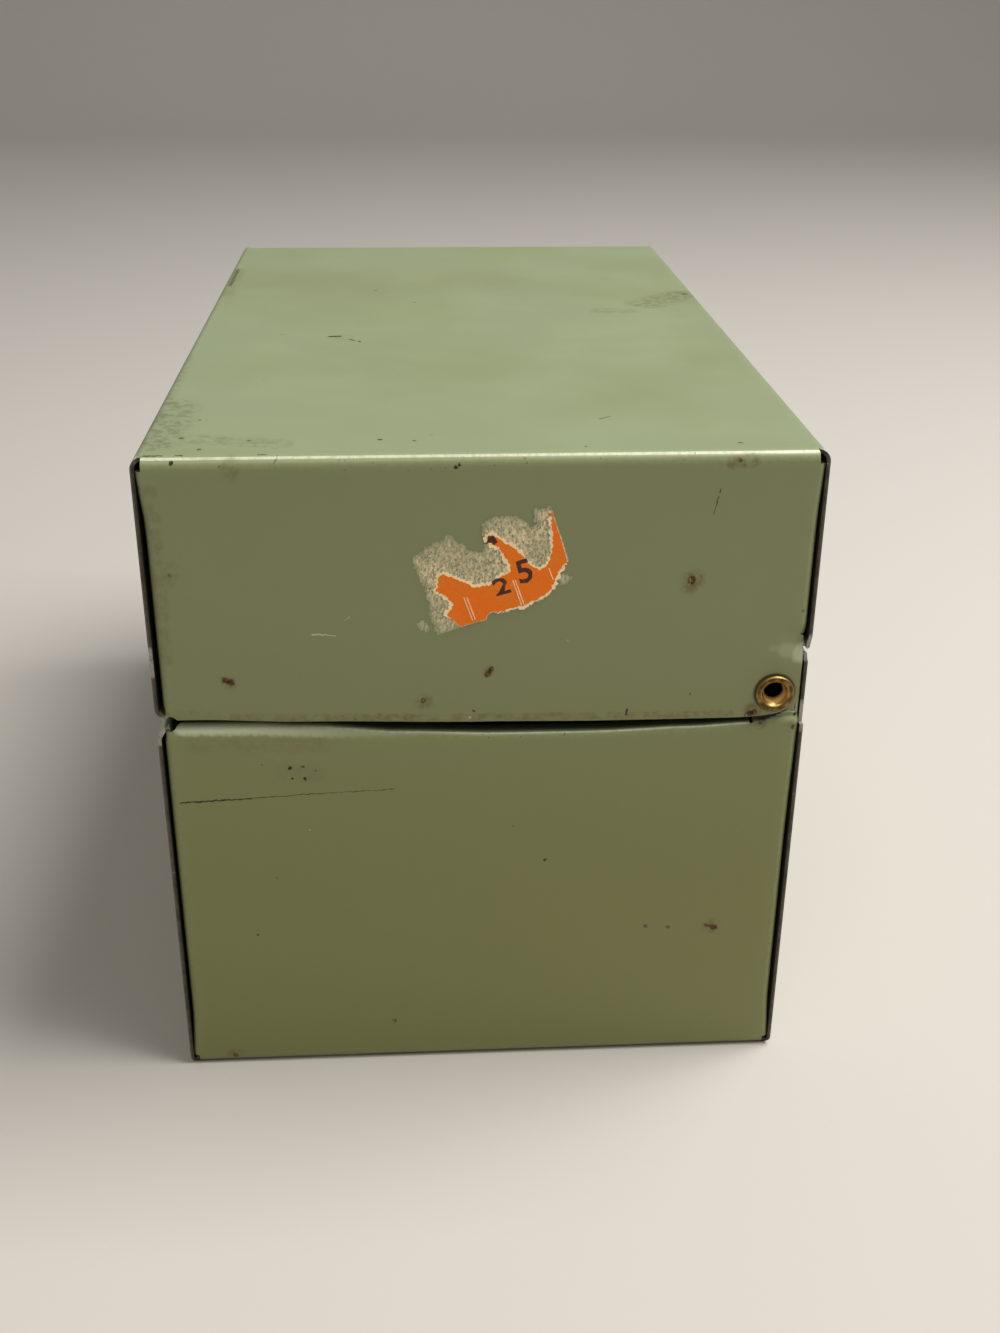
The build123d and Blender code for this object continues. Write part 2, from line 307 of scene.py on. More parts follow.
class Tray:
    """One folded shell: the body stands on its base, and the lid hangs from it."""

    # The hem's section, where it stops at its ends, and where the tabs and tongues begin
    hem_rise = 1.6 * MM
    hem_inset = 0.95 * MM
    hem_return = 1.45 * MM
    hem_depth = 4.6 * MM
    hem_end = 0.8 * MM
    hem_radii = [0.6 * MM, 0.3 * MM, 0.8 * MM]
    tab_relief = 0.3 * MM
    tongue_start = pivot.y - 2.6 * MM

    def __init__(self, sizes, base, up, front, back):
        self.sizes, self.base, self.up = sizes, base, up
        self.front, self.back = front, back
        self.mid = sizes.sheet / 2
        self.panel = half_depth - self.mid
        self.end = half_length - self.mid
        self.tab = half_depth - sizes.sheet - self.mid
        self.lip_start = front - sizes.lip_bend
        self.bm = bmesh.new()
        self.bm.verts.layers.float.new("groove")

    def point(self, x, y, h):
        """A point at depth h from the base."""
        return Vector((x, y, self.base + self.up * h))

    def profile(self, marks):
        """Long strip from hem to hem as (y, h), with extra points at the marks."""
        sizes = self.sizes
        hem = [
            (self.panel, -self.hem_rise),
            (self.panel - self.hem_inset, 0.0),
            (self.panel - self.hem_return, -self.hem_rise),
            (self.panel - self.hem_return, -self.hem_depth),
        ]
        front = [(-y, self.front + h) for y, h in hem][::-1]
        back = [(y, self.back + h) for y, h in hem]
        level = [(self.panel, self.lip_start + 0.2 * MM)] if self.up > 0 else []
        base = sorted([-m for m in marks] + marks)
        corners = front + [(-self.panel, self.mid)] + [(y, self.mid) for y in base]
        corners += [(self.panel, self.mid)] + level + back
        fold = sizes.side_bend - self.mid
        radii = self.hem_radii + [fold] + [0.0] * len(base)
        radii += [fold] + [0.0] * len(level) + self.hem_radii[::-1]
        return folded_line(corners, radii, 4 * MM)

    def rolled(self, x, y):
        """A point of the base, which bends down into the end past the bend's start."""
        outer, radius = self.sizes.end_bend, self.sizes.end_bend - self.mid
        turn = math.pi / 2 * max(0.0, (abs(x) - half_length + outer) / outer)
        reach = min(abs(x), half_length - outer) + radius * math.sin(turn)
        return self.point(math.copysign(reach, x), y, outer - radius * math.cos(turn))

    def straight(self, x, y, h):
        """A point of a long side, whose corner by the base is cut round."""
        outer = self.sizes.end_bend
        past = max(0.0, abs(x) - half_length + outer)
        short = max(0.0, outer - h)
        past *= math.sqrt(outer * outer - short * short) / outer
        return self.point(math.copysign(min(abs(x), half_length - outer) + past, x), y, h)

    def wrap(self, marks, step):
        """Adds the long strip: hem, side, base, side, hem. Above the step its back is shorter."""
        self.line = self.profile(marks)
        start = half_length - self.sizes.end_bend
        stop = half_length - self.hem_end
        ends = stations(start, stop, 0.25 * MM) + stations(stop, half_length, 0.2 * MM)[1:]
        columns = [-x for x in ends[:0:-1]] + stations(-start, start, 4 * MM, 0.5 * MM) + ends[1:]
        flat = [i for i, p in enumerate(self.line) if p.y < self.mid + TINY]
        front, back = self.line[:flat[0] + 1], self.line[flat[-1]:]
        front_apex = max(range(len(front)), key=lambda i: front[i].y)
        back_apex = max(range(len(back)), key=lambda i: back[i].y)

        def inner(column):
            return abs(columns[column] + columns[column + 1]) / 2 < stop

        def add_wall(line, keep):
            # A shade value below 0 marks the long strip, which some of the dents leave alone
            rows = [[self.straight(x, p.x, p.y) for x in columns] for p in line]
            add_grid(self.bm, rows, lambda r, c: inner(c) or keep(r), lambda r, c: -1.0)

        add_wall(front, lambda r: r >= front_apex)
        base = self.line[flat[0]:flat[-1] + 1]
        add_grid(self.bm, [[self.rolled(x, p.x) for x in columns] for p in base])
        add_wall(back, lambda r: r < back_apex and back[r + 1].y < step + TINY)

    def section(self, h, spread, shift=lambda y, h: 0.0):
        """One row of the end panel at depth h: front tab, bend, flat, bend, back tab."""
        seam = [p.x for p in self.line if p.y < self.mid + TINY]
        fixed = 31 * MM  # columns nearer the middle than this stay straight
        settle = smooth(h, self.sizes.end_bend, 9 * MM)
        tight = self.tab - seam[-1]
        radius = tight + (self.sizes.tab_bend - self.mid - tight) * settle
        row = []
        for side in (-1, 1):
            tab = self.tab - spread[side] * settle
            flat = tab - radius
            corner = self.end - radius + shift(side * tab, h)
            tip = half_length - self.sizes.tab_reach
            part = [(x, side * tab) for x in stations(tip, half_length - 1.9 * MM, 2 * MM, 0.3 * MM)]
            turns = [math.pi / 2 * (1 - i / BEND_POINTS) for i in range(BEND_POINTS)]
            part += [(corner + radius * math.cos(a), side * (flat + radius * math.sin(a))) for a in turns]
            row.append(part)
        middle = []
        for y in seam:
            side = -1 if y < 0 else 1
            flat = self.tab - spread[side] * settle - radius
            if abs(y) > fixed:
                y = side * (fixed + (abs(y) - fixed) * (flat - fixed) / (seam[-1] - fixed))
            middle.append((self.end + shift(y, h), y))
        self.tabs = len(row[0])
        return row[0] + middle + row[1][::-1]

    def add_end(self, side, rows, depths, keep, shade_delay=0.0):
        """Adds rows of the end panel; painted shade on its bends deepens towards the tabs, and on the back
        bend it starts later when a delay is given.
        """
        front, back = (
            [1.0] * (self.tabs - BEND_POINTS)
            + [smooth(BEND_POINTS - i, 3.2 + late, 6.5 + late * 0.5) for i in range(BEND_POINTS)]
            for late in (0.0, shade_delay)
        )
        shade_and_dirt = front + [0.0] * (len(rows[0]) - 2 * self.tabs) + back[::-1]
        below = [smooth(h, 2.2 * MM, 5.0 * MM) for h in depths]
        points = [[self.point(side * x, y, h) for x, y in row] for row, h in zip(rows, depths)]
        add_grid(self.bm, points, keep, lambda row, column: shade_and_dirt[column] * below[row])

    def lip(self, side, columns):
        """Rolls the end's edge in to a lip, mitred at the front."""
        outer, radius = self.sizes.lip_bend, self.sizes.lip_bend - self.mid
        centre = half_length - outer
        path = [
            (centre + radius * math.cos(a), self.front - outer + radius * math.sin(a))
            for a in (math.pi / 2 * i / 8 for i in range(9))
        ]
        flat = stations(centre, half_length - self.sizes.lip_reach, 0.6 * MM)[1:]
        path += [(x, self.front - self.mid) for x in flat]
        width = 8 * MM
        rows = []
        for x, h in path:
            mitre = 0.4 * MM * min(1.0, (h - path[0][1]) / (0.2 * MM)) + 1.1 * (self.end - x)
            moved = [y + mitre * max(0.0, 1 - (y - columns[0]) / width) for y in columns]
            rows.append([self.point(side * x, y, h) for y in moved])
        # Painted shade on the lip's inward part, which lies in the gap between lid and body
        add_grid(self.bm, rows, groove=lambda row, column: 0.8 * smooth(row, 7.0, 9.5))

    def finish(self, name, strain, materials):
        """Welds the blank, bends it as the real one is bent, and gives it its thickness."""
        bm = self.bm
        bmesh.ops.remove_doubles(bm, verts=bm.verts, dist=WELD)
        loose = [v for v in bm.verts if not v.link_faces]
        bmesh.ops.delete(bm, geom=loose, context="VERTS")
        bmesh.ops.recalc_face_normals(bm, faces=bm.faces)
        fold = bm.verts.layers.float.new("fold")
        for vert in bm.verts:
            angles = [e.calc_face_angle(0.0) for e in vert.link_edges if len(e.link_faces) == 2]
            vert[fold] = smooth(max(angles, default=0.0), 0.03, 0.16)
        groove = bm.verts.layers.float["groove"]
        for vert in bm.verts:
            vert.co += strain(vert.co.copy(), vert[groove] < 0)
        flat = bpy.data.meshes.new(name + "_blank")
        bm.to_mesh(flat)
        bm.free()
        shell = link(name, flat)
        for material in materials:
            flat.materials.append(material)
        thick = shell.modifiers.new("sheet", "SOLIDIFY")
        thick.thickness = self.sizes.sheet
        thick.offset = 0.0
        thick.use_even_offset = True
        thick.material_offset_rim = 1
        shell.data = applied(shell, name)
        for vert in shell.data.vertices:
            vert.co.y = min(half_depth, max(-half_depth, vert.co.y))
        sharpen(shell.data, math.radians(35))
        weigh = shell.modifiers.new("normals", "WEIGHTED_NORMAL")
        weigh.keep_sharp = True
        return shell


def applied(piece, name):
    """The piece's mesh with its modifiers applied, which it then no longer has."""
    bpy.context.view_layer.update()
    done = bpy.data.meshes.new_from_object(piece.evaluated_get(bpy.context.evaluated_depsgraph_get()))
    done.name = name
    piece.modifiers.clear()
    return done


def sharpen(mesh, angle):
    """Shades the mesh smooth, apart from edges that turn more than the angle."""
    bm = bmesh.new()
    bm.from_mesh(mesh)
    for face in bm.faces:
        face.smooth = True
    for edge in bm.edges:
        edge.smooth = len(edge.link_faces) == 2 and edge.calc_face_angle(0.0) < angle
    bm.to_mesh(mesh)
    bm.free()


def mark_crevice_shade(shell):
    """Stores how much painted shade each point takes: all of it on inward faces of the long sides by the
    ends, and the grooves' shade on faces that don't turn in.
    """
    mesh = shell.data
    normals = [n.vector.copy() for n in mesh.vertex_normals]
    grooves = [item.value for item in mesh.attributes["groove"].data]
    layer = mesh.attributes.new("crevice", "FLOAT", "POINT")
    for i, vert in enumerate(mesh.vertices):
        x, y = abs(vert.co.x), abs(vert.co.y)
        inward = -normals[i].y * math.copysign(1, vert.co.y)
        behind = inward > 0.5 and y > half_depth - 0.6 * MM and x > half_length - 6 * MM
        layer.data[i].value = 1.0 if behind else max(0.0, grooves[i]) * (inward < 0.2)


def panel_swell(co, sizes, seed):
    """How far the flat panels have sunk in, away from their bends, in a slow random swell."""
    depth = sizes.waviness * 1.6
    reach = 9 * MM
    from_ends = smooth(half_length - abs(co.x), 0.0, reach)
    from_sides = smooth(half_depth - abs(co.y), 0.0, reach)
    from_base = smooth(min(co.z, box_height - co.z), 0.0, reach)
    out = Vector()
    swell = depth * (0.5 + 0.5 * noise.noise(co / (34 * MM) + Vector((seed, seed * 1.7, seed * 0.3))))
    near_end = half_length - abs(co.x) < 1.2 * MM
    near_side = half_depth - abs(co.y) < 0.9 * MM
    near_base = min(co.z, box_height - co.z) < 0.9 * MM
    pin = smooth((co.yz - pivot.yz).length, 5 * MM, 12 * MM)
    if near_base and not near_end and not near_side:
        out.z = -math.copysign(swell * from_ends * from_sides, co.z - box_height / 2)
    elif near_end and not near_side:
        out.x = -math.copysign((swell - depth / 2) * from_sides * from_base * pin, co.x)
    elif near_side and not near_end:
        edge = smooth(abs(co.z - pivot.z), 6 * MM, 14 * MM)
        out.y = -math.copysign(swell * from_ends * from_base * edge, co.y)
    return out


def inside_hem(co):
    """1 behind the back wall's outer face, where a crumpled hem can move out, and 0 on it."""
    return 1 - smooth(co.y, half_depth - 0.9 * MM, half_depth - 0.3 * MM)


def near_right(co):
    """1 at the right end of a back hem, where it's crumpled, and 0 along the rest of it."""
    return smooth(co.x, 61 * MM, 66.5 * MM)


def lid_strain(co, sizes, on_strip):
    """Where the lid has been bent in use: its end edges droop, a corner and a hem are dented."""
    out = panel_swell(co, sizes, 3.1)
    low = 1 - smooth(co.z, lid_edge + 1 * MM, lid_edge + 20 * MM)
    end = smooth(abs(co.x), half_length - 30 * MM, half_length - 4 * MM)
    if co.x > 0:
        droop = along(co.y / MM, [
            (-39, 1.0), (-36, 0.95), (-22, 0.40), (0, -0.12), (15, -0.35), (31, -0.35), (34, -0.3),
            (38, 0.15), (39.6, -0.2),
        ])
        out.z += droop * MM * end * low * (not on_strip or co.y < 0)
        if on_strip and co.y > 0:
            crumple = near_right(co) * (1 - smooth(co.z, 63 * MM, 66 * MM))
            out.z -= 0.38 * MM * crumple
            out.y += 0.45 * MM * crumple * inside_hem(co)
        dent = Vector(((co.y - 39.9 * MM) * 0.58, co.z - 62.9 * MM)).length
        crease = Vector(((co.y - 37.4 * MM) * 0.7, co.z - 59.6 * MM)).length
        press = 0.55 * MM * (1 - smooth(dent, 0.0, 2.4 * MM))
        press -= 0.16 * MM * (1 - smooth(crease, 0.0, 2.0 * MM))
        out.x -= press * smooth(co.x, half_length - 7 * MM, half_length - 1.2 * MM) * (not on_strip)
    else:
        out.z += along(co.y / MM, [(-40, 0.3), (0, -0.2), (31, -0.3), (37, 0)]) * MM * end * low
    return out


def body_strain(co, sizes, on_strip):
    """Where the body has been bent: its lips dip, the right one leans in, and a hem is dented."""
    out = panel_swell(co, sizes, 8.4)
    level = lid_edge - sizes.split_gap
    high = smooth(co.z, level - 22 * MM, level - 1 * MM)
    ear = smooth(co.y, 34.0 * MM, 34.4 * MM)
    end = smooth(abs(co.x), half_length - 26 * MM, half_length - 3 * MM)
    if co.x > 0:
        dips = [
            (-40, 0.95), (-38.3, 0.75), (-30, 0.7), (-22, 0.35), (-10, -0.60), (2, -1.02), (14, -1.05),
            (27, -0.65), (34, -0.3), (38.5, 0.30), (39.6, 0.2), (40.2, 0),
        ]
    else:
        dips = [(-40, 0.1), (-12, -0.3), (14, -0.5), (33, 0)]
    settled = 1 - smooth(co.z, level + 0.6 * MM, level + 4 * MM) * ear
    out.z += along(co.y / MM, dips) * MM * end * high * settled
    if co.x > 0 and not on_strip:
        lean = 1 - smooth(co.y, -36 * MM, 6 * MM)
        out.x -= 1.0 * MM * lean * smooth(co.z, level - 1.5 * MM, level + 0.3 * MM) * end
    if co.x > 0 and on_strip and co.y > 0:
        out.y += 0.40 * MM * near_right(co) * smooth(co.z, 59.3 * MM, 60.4 * MM) * inside_hem(co)
    return out


def build_lid(sizes, materials):
    """The lid: a tray that hangs from its base, with a rounded tongue at each end."""
    back = box_height - body_back_edge - sizes.split_gap
    tray = Tray(sizes, box_height, -1, box_height - lid_edge, back)
    tongue = tray.tongue_start
    tray.wrap([35 * MM, tongue, 32.5 * MM, 36.2 * MM, 37.3 * MM, 38.3 * MM], box_height)
    front_tab = tray.front - tray.hem_rise - tray.tab_relief
    back_tab = tray.back - tray.hem_rise - tray.tab_relief
    tongue_edge, tongue_back, corner = tray.front - 0.4 * MM, pivot.y + 3.1 * MM, 3.0 * MM
    depths = stations(sizes.end_bend, 18 * MM, 3 * MM, 0.5 * MM)
    depths += stations(18 * MM, back_tab, 0.8 * MM)[1:]
    depths += stations(back_tab, tray.back, 0.7 * MM)[1:]
    depths += stations(tray.back, front_tab, 2.0 * MM)[1:] + [tray.lip_start]
    for side in (1, -1):
        spread = {-1: 0.5 * MM, 1: 0.2 * MM} if side > 0 else {-1: 0.3 * MM, 1: 0.35 * MM}
        rows = [tray.section(h, spread) for h in depths]
        last = len(rows[0]) - 1
        tabs, bend = tray.tabs, tray.tabs - BEND_POINTS // 2
        across = [y for x, y in rows[-1]]
        at_tongue = nearest(across, tongue)

        def keep(r, c):
            if c < tabs:
                return depths[r] < front_tab - TINY or c >= bend
            if c >= last - tabs:
                return depths[r] < back_tab - TINY
            return c < at_tongue or depths[r] < back_tab - TINY

        tray.add_end(side, rows, depths, keep)
        tray.lip(side, across[tabs:at_tongue + 1])
        edge_row, start = nearest(depths, back_tab), across[at_tongue]
        outline = [Vector((start, h)) for h in depths[edge_row:]]
        outline += [Vector((y, tongue_edge)) for y in stations(start, tongue_back - corner, 1 * MM)]
        centre = Vector((tongue_back - corner, tongue_edge - corner))
        outline += rounding(centre, corner, 1)
        top_edge = [y for x, y in rows[edge_row][at_tongue + 1:last - tabs + 1]]
        outline += [Vector((tongue_back, h)) for h in stations(centre.y, back_tab + 0.4 * MM, 1 * MM)[1:]]
        outline += [Vector((y, back_tab)) for y in top_edge[::-1]]
        hole = circle(Vector((pivot.y, box_height - pivot.z)), PIN_HOLE_LID)
        add_patch(tray.bm, outline, hole, lambda p: tray.point(side * tray.end, p.x, p.y))
    return tray.finish("lid_steel", lambda co, on_strip: lid_strain(co, sizes, on_strip), materials)


def build_body(sizes, materials):
    """The body: a tray that stands on its base, with a joggled hinge ear at each end."""
    tray = Tray(sizes, 0.0, 1, lid_edge - sizes.split_gap, body_back_edge)
    tongue, ear_front = tray.tongue_start, pivot.y - 2.2 * MM
    tray.wrap([32 * MM, tongue, ear_front, 36.2 * MM, 38 * MM], tray.lip_start + 0.2 * MM)
    front_tab = tray.front - tray.hem_rise - tray.tab_relief
    joggle_low, joggle_high = tray.lip_start + 0.2 * MM, tray.lip_start + 1.1 * MM
    ear_top = pivot.z + 4.6 * MM
    inset = sizes.sheet + TONGUE_GAP
    depths = stations(sizes.end_bend, front_tab, 3 * MM, 0.5 * MM)
    depths += stations(front_tab, tray.lip_start, 0.28 * MM)[1:]
    rising = stations(tray.lip_start, joggle_high, 0.15 * MM)
    rising += stations(joggle_high, ear_top, 1 * MM)[1:]

    def shift(y, h):
        rim = 0.15 * MM * smooth(abs(y), 38.6 * MM, 39.1 * MM)
        return (rim - inset) * smooth(h, joggle_low, joggle_high) * (y > 0)

    def spread(h):
        return {-1: 0.3 * MM, 1: (0.3 - 0.25 * smooth(h, 34 * MM, tray.lip_start)) * MM}

    for side in (1, -1):
        rows = [tray.section(h, spread(h)) for h in depths]
        last = len(rows[0]) - 1
        tabs, bend = tray.tabs, tray.tabs - BEND_POINTS // 2
        across = [y for x, y in rows[-1]]
        at_tongue, at_ear = nearest(across, tongue), nearest(across, ear_front)
        tray.add_end(side, rows, depths, lambda r, c: c >= bend or depths[r] < front_tab - TINY)
        tray.lip(side, across[tabs:at_tongue + 1])
        uprights = [tray.section(h, spread(h), shift) for h in rising]
        first_high = nearest(rising, joggle_high)

        def keep_rising(r, c):
            return c >= at_tongue and r < 4 or c >= at_ear and (c >= last - tabs or r < first_high)

        tray.add_end(side, uprights, rising, keep_rising, shade_delay=1.6)
        ear_start, ear_edge = uprights[-1][at_ear][1], uprights[-1][last - tabs][1]
        outline = [Vector((y, joggle_high)) for x, y in uprights[-1][at_ear:last - tabs + 1]]
        outline += [Vector((ear_edge, h)) for h in rising[first_high + 1:]]
        corner = 3.4 * MM
        centre = Vector((ear_start + corner, ear_top - corner))
        outline += [Vector((y, ear_top)) for y in stations(ear_edge, centre.x, 1 * MM)[1:]]
        outline += rounding(centre, corner, -1)
        outline += [Vector((ear_start, h)) for h in stations(centre.y, joggle_high, 1 * MM)[1:-1]]
        hole = circle(Vector((pivot.y, pivot.z)), PIN_HOLE_EAR)
        add_patch(tray.bm, outline, hole, lambda p: tray.point(
            side * (tray.end + shift(p.x, joggle_high)), p.x, p.y
        ))
    return tray.finish("body_steel", lambda co, on_strip: body_strain(co, sizes, on_strip), materials)


def build_eyelet(side, name, sizes, material):
    """A rolled brass eyelet, turned about the hinge's axis."""
    seat = half_length + 0.06 * MM
    ear_inside = half_length - 2 * sizes.sheet - TONGUE_GAP
    outer = pivot.y - eyelet_low.y
    crest = eyelet_high.x - seat
    # Each row is a share of the outer radius and a rise: over the flange, down the throat, and clinched
    flange = [
        (0.92, 0.0), (0.985, 0.12), (1.0, 0.30), (0.985, 0.55), (0.945, 0.80), (0.89, 0.96), (0.83, 1.0),
        (0.77, 0.95), (0.71, 0.80), (0.65, 0.52), (0.60, 0.12),
    ]
    throat = [(0.55, -0.25), (0.50, -0.6), (0.47, -0.95)]
    clinch = [(0.48, -0.08), (0.54, -0.30), (0.68, -0.38), (0.82, -0.34), (0.89, -0.18), (0.9, 0.0)]
    section = [(PIN_RADIUS, ear_inside), (PIN_RADIUS, seat)]
    for rows, start, unit in ((flange, seat, crest), (throat, seat, MM), (clinch, ear_inside, MM)):
        section += [(outer * share, start + rise * unit) for share, rise in rows]
    off_centre = 0.16 * MM  # the rolled throat isn't quite true
    steps = 72
    bm = bmesh.new()
    rings = []
    for angle in (2 * math.pi * i / steps for i in range(steps)):
        rings.append([
            bm.verts.new((
                side * place,
                pivot.y + radius * math.cos(angle),
                pivot.z + radius * math.sin(angle) + off_centre * (radius < outer * 0.58),
            ))
            for radius, place in section
        ])
    for here, there in zip(rings, rings[1:] + rings[:1]):
        for j in range(len(section)):
            k = (j + 1) % len(section)
            bm.faces.new((here[j], there[j], there[k], here[k]))
    return piece_from(bm, name, material, 50)


label_centre = Vector((0.8 * MM, box_height - 14 * MM))
label_slant = math.radians(17)


def on_label(along_label, up_label, lift):
    """A 3D point on the lid's right end, from a place about the label's centre in millimetres."""
    a, b = along_label * MM, up_label * MM
    y = label_centre.x + a * math.cos(label_slant) - b * math.sin(label_slant)
    z = label_centre.y + a * math.sin(label_slant) + b * math.cos(label_slant)
    return Vector((half_length + lift * MM, y, z))


def cut_by_machine(point):
    """True on the label's lower edge and on its right edge, which were never torn."""
    return point.y < -4.9 and point.x < 2.3 or point.x > 8.5


def torn_edge(outline, step, rough, seed, cut=lambda point: False):
    """Outline cut to short steps, each moved a little at random, as torn paper is."""
    draw = random.Random(seed)
    torn = []
    for a, b in zip(outline, outline[1:] + outline[:1]):
        a, b = Vector(a), Vector(b)
        count = max(1, round((b - a).length / step))
        across = Vector((b.y - a.y, a.x - b.x)).normalized()
        for i in range(count):
            point = a.lerp(b, i / count)
            move = draw.uniform(-rough, rough) * (0.15 if cut(a) and cut(b) else 1.0)
            torn.append(point + across * move)
    return torn


def paper_layer(name, outline, low, high, material, spacing=0.5, curl=0.0, seed=1):
    """A thin layer of the label: a flat outline with a thickness, low and high in millimetres.

    Its attribute margin says how far in from the outline each point lies."""
    bm = bmesh.new()
    layer = bm.verts.layers.float.new("margin")

    def margin_of(point):
        return min((p - point).length for p in outline)

    inner = points_inside(outline, spacing, lambda point: margin_of(point) > spacing * 0.5)
    found, faces = triangulated([outline], inner)
    margins = [margin_of(p) for p in found]

    def lifted(p, margin):
        ruffle = noise.noise(Vector((p.x * 0.9, p.y * 0.9, seed))) * 0.5 + 0.5
        return high + curl * ruffle * (1 - smooth(margin, 0.0, 1.2))

    top = [bm.verts.new(on_label(p.x, p.y, lifted(p, margin))) for p, margin in zip(found, margins)]
    bottom = [bm.verts.new(on_label(p.x, p.y, low)) for p in found]
    for vert, margin in zip(top + bottom, margins + margins):
        vert[layer] = margin
    for face in faces:
        bm.faces.new([top[i] for i in face])
        bm.faces.new([bottom[i] for i in reversed(face)])
    index = {v: i for i, v in enumerate(top)}
    for edge in [e for e in bm.edges if len(e.link_faces) == 1]:
        a, b = edge.verts
        if a in index and b in index:
            bm.faces.new((a, b, bottom[index[b]], bottom[index[a]]))
    return piece_from(bm, name, material, 40)


class Graph:
    """A node tree, with short ways to add to it."""

    def __init__(self, tree):
        self.tree = tree
        tree.nodes.clear()

    def node(self, kind, sockets=None, **settings):
        """Adds a node; sockets maps its inputs to values, or to outputs that are linked."""
        made = self.tree.nodes.new(kind)
        for name, value in settings.items():
            setattr(made, name, value)
        for name, value in (sockets or {}).items():
            if isinstance(value, bpy.types.NodeSocket):
                self.tree.links.new(value, made.inputs[name])
            else:
                made.inputs[name].default_value = value
        return made

    def calc(self, operation, a, b=0.0, clamp=False):
        """One Math node's result."""
        return self.node("ShaderNodeMath", {0: a, 1: b}, operation=operation, use_clamp=clamp).outputs[0]

    def times(self, value, *others):
        """Product of several values."""
        for other in others:
            value = self.calc("MULTIPLY", value, other)
        return value

    def most(self, value, *others):
        """Highest of several values."""
        for other in others:
            value = self.calc("MAXIMUM", value, other)
        return value

    def over(self, value, limit):
        """1 where the value is over the limit, and 0 elsewhere."""
        return self.calc("GREATER_THAN", value, limit)

    def vector(self, operation, a, b=(0.0, 0.0, 0.0), output="Vector"):
        """One Vector Math node's result: a vector, or a value such as a length."""
        second = "Scale" if operation == "SCALE" else 1
        return self.node("ShaderNodeVectorMath", {0: a, second: b}, operation=operation).outputs[output]

    def split(self, a):
        """The three parts of a vector."""
        return self.node("ShaderNodeSeparateXYZ", {0: a}).outputs

    def join(self, a, b, first=0):
        """A vector with two of its parts set."""
        return self.node("ShaderNodeCombineXYZ", {first: a, first + 1: b}).outputs[0]

    def fit(self, value, low, high, to_low=0.0, to_high=1.0):
        """Maps a value from one range to another with a smooth curve."""
        sockets = {0: value, 1: low, 2: high, 3: to_low, 4: to_high}
        return self.node("ShaderNodeMapRange", sockets, interpolation_type="SMOOTHSTEP").outputs[0]

    def mix(self, factor, a, b):
        """Mixes two colours."""
        a, b = (c if isinstance(c, bpy.types.NodeSocket) else (*c, 1.0) for c in (a, b))
        return self.node("ShaderNodeMix", {0: factor, 6: a, 7: b}, data_type="RGBA").outputs[2]


class Finish(Graph):
    """A material whose colour is painted in layers, each over the ones before."""

    def __init__(self, name, colour):
        self.material = bpy.data.materials.new(name)
        self.material.use_nodes = True
        super().__init__(self.material.node_tree)
        self.point = self.node("ShaderNodeTexCoord").outputs["Object"]
        self.colour = colour

    def stored(self, name):
        """A value that the mesh holds for each point."""
        return self.node("ShaderNodeAttribute", attribute_name=name).outputs["Fac"]

    def cloud(self, scale, detail=3.0, rough=0.5, point=None, output="Fac"):
        """Noise, as a value or as a colour."""
        point = self.point if point is None else point
        sockets = {"Vector": point, "Scale": scale, "Detail": detail, "Roughness": rough}
        return self.node("ShaderNodeTexNoise", sockets).outputs[output]

    def from_pin(self, parts):
        """Distance from the hinge's axis."""
        return self.vector("DISTANCE", self.join(parts[1], parts[2], 1), (0.0, pivot.y, pivot.z), "Value")

    def paint(self, colour, mask, *shares):
        """Lays a colour on where the mask, times any shares, shows it."""
        self.colour = self.mix(self.times(mask, *shares), self.colour, colour)

    def finished(self, rough, height, distance, strength, more=None):
        """Adds the bump, the shader and the output, and gives the material."""
        sockets = {"Height": height, "Distance": distance, "Strength": strength}
        normal = self.node("ShaderNodeBump", sockets).outputs[0]
        sockets = {"Base Color": self.colour, "Roughness": rough, "Normal": normal, **(more or {})}
        shader = self.node("ShaderNodeBsdfPrincipled", sockets)
        self.node("ShaderNodeOutputMaterial", {0: shader.outputs[0]})
        return self.material


def tint(colour, factor, add=0.0):
    """A colour made brighter or darker, but no brighter than full."""
    return [min(1.0, c * factor + add) for c in colour]


def stroke_group():
    """Node group: 1 on a short stroke from Start to End, fading out at Width."""
    group = bpy.data.node_groups.new("paint_mark", "ShaderNodeTree")
    for name, way, kind in (
        ("Point", "INPUT", "Vector"), ("Start", "INPUT", "Vector"), ("End", "INPUT", "Vector"),
        ("Width", "INPUT", "Float"), ("Strength", "INPUT", "Float"), ("Mask", "OUTPUT", "Float"),
    ):
        group.interface.new_socket(name, in_out=way, socket_type="NodeSocket" + kind)
    g = Graph(group)
    inputs = g.node("NodeGroupInput").outputs
    to_point = g.vector("SUBTRACT", inputs["Point"], inputs["Start"])
    to_end = g.vector("SUBTRACT", inputs["End"], inputs["Start"])
    reached, whole = (g.vector("DOT_PRODUCT", a, to_end, "Value") for a in (to_point, to_end))
    share = g.calc("DIVIDE", reached, g.most(whole, 1e-12), clamp=True)
    away = g.vector("SUBTRACT", to_point, g.vector("SCALE", to_end, share))
    ratio = g.calc("DIVIDE", g.vector("LENGTH", away, output="Value"), inputs["Width"])
    g.node("NodeGroupOutput", {"Mask": g.times(g.fit(ratio, 1.0, 0.45), inputs["Strength"])})
    return group


def strokes(g, group, point, marks):
    """The strongest of several marks; one of even length ends with its strength."""
    masks = []
    for mark in marks:
        *places, width, strength = mark if len(mark) % 2 == 0 else (*mark, 1.0)
        start, end = places[:2], places[-2:]
        masks.append(g.node("ShaderNodeGroup", {
            "Point": point,
            "Start": (start[0] * MM, start[1] * MM, 0.0),
            "End": (end[0] * MM, end[1] * MM, 0.0),
            "Width": width * 1.35 * MM,
            "Strength": strength,
        }, node_tree=group).outputs[0])
    return g.most(*masks)


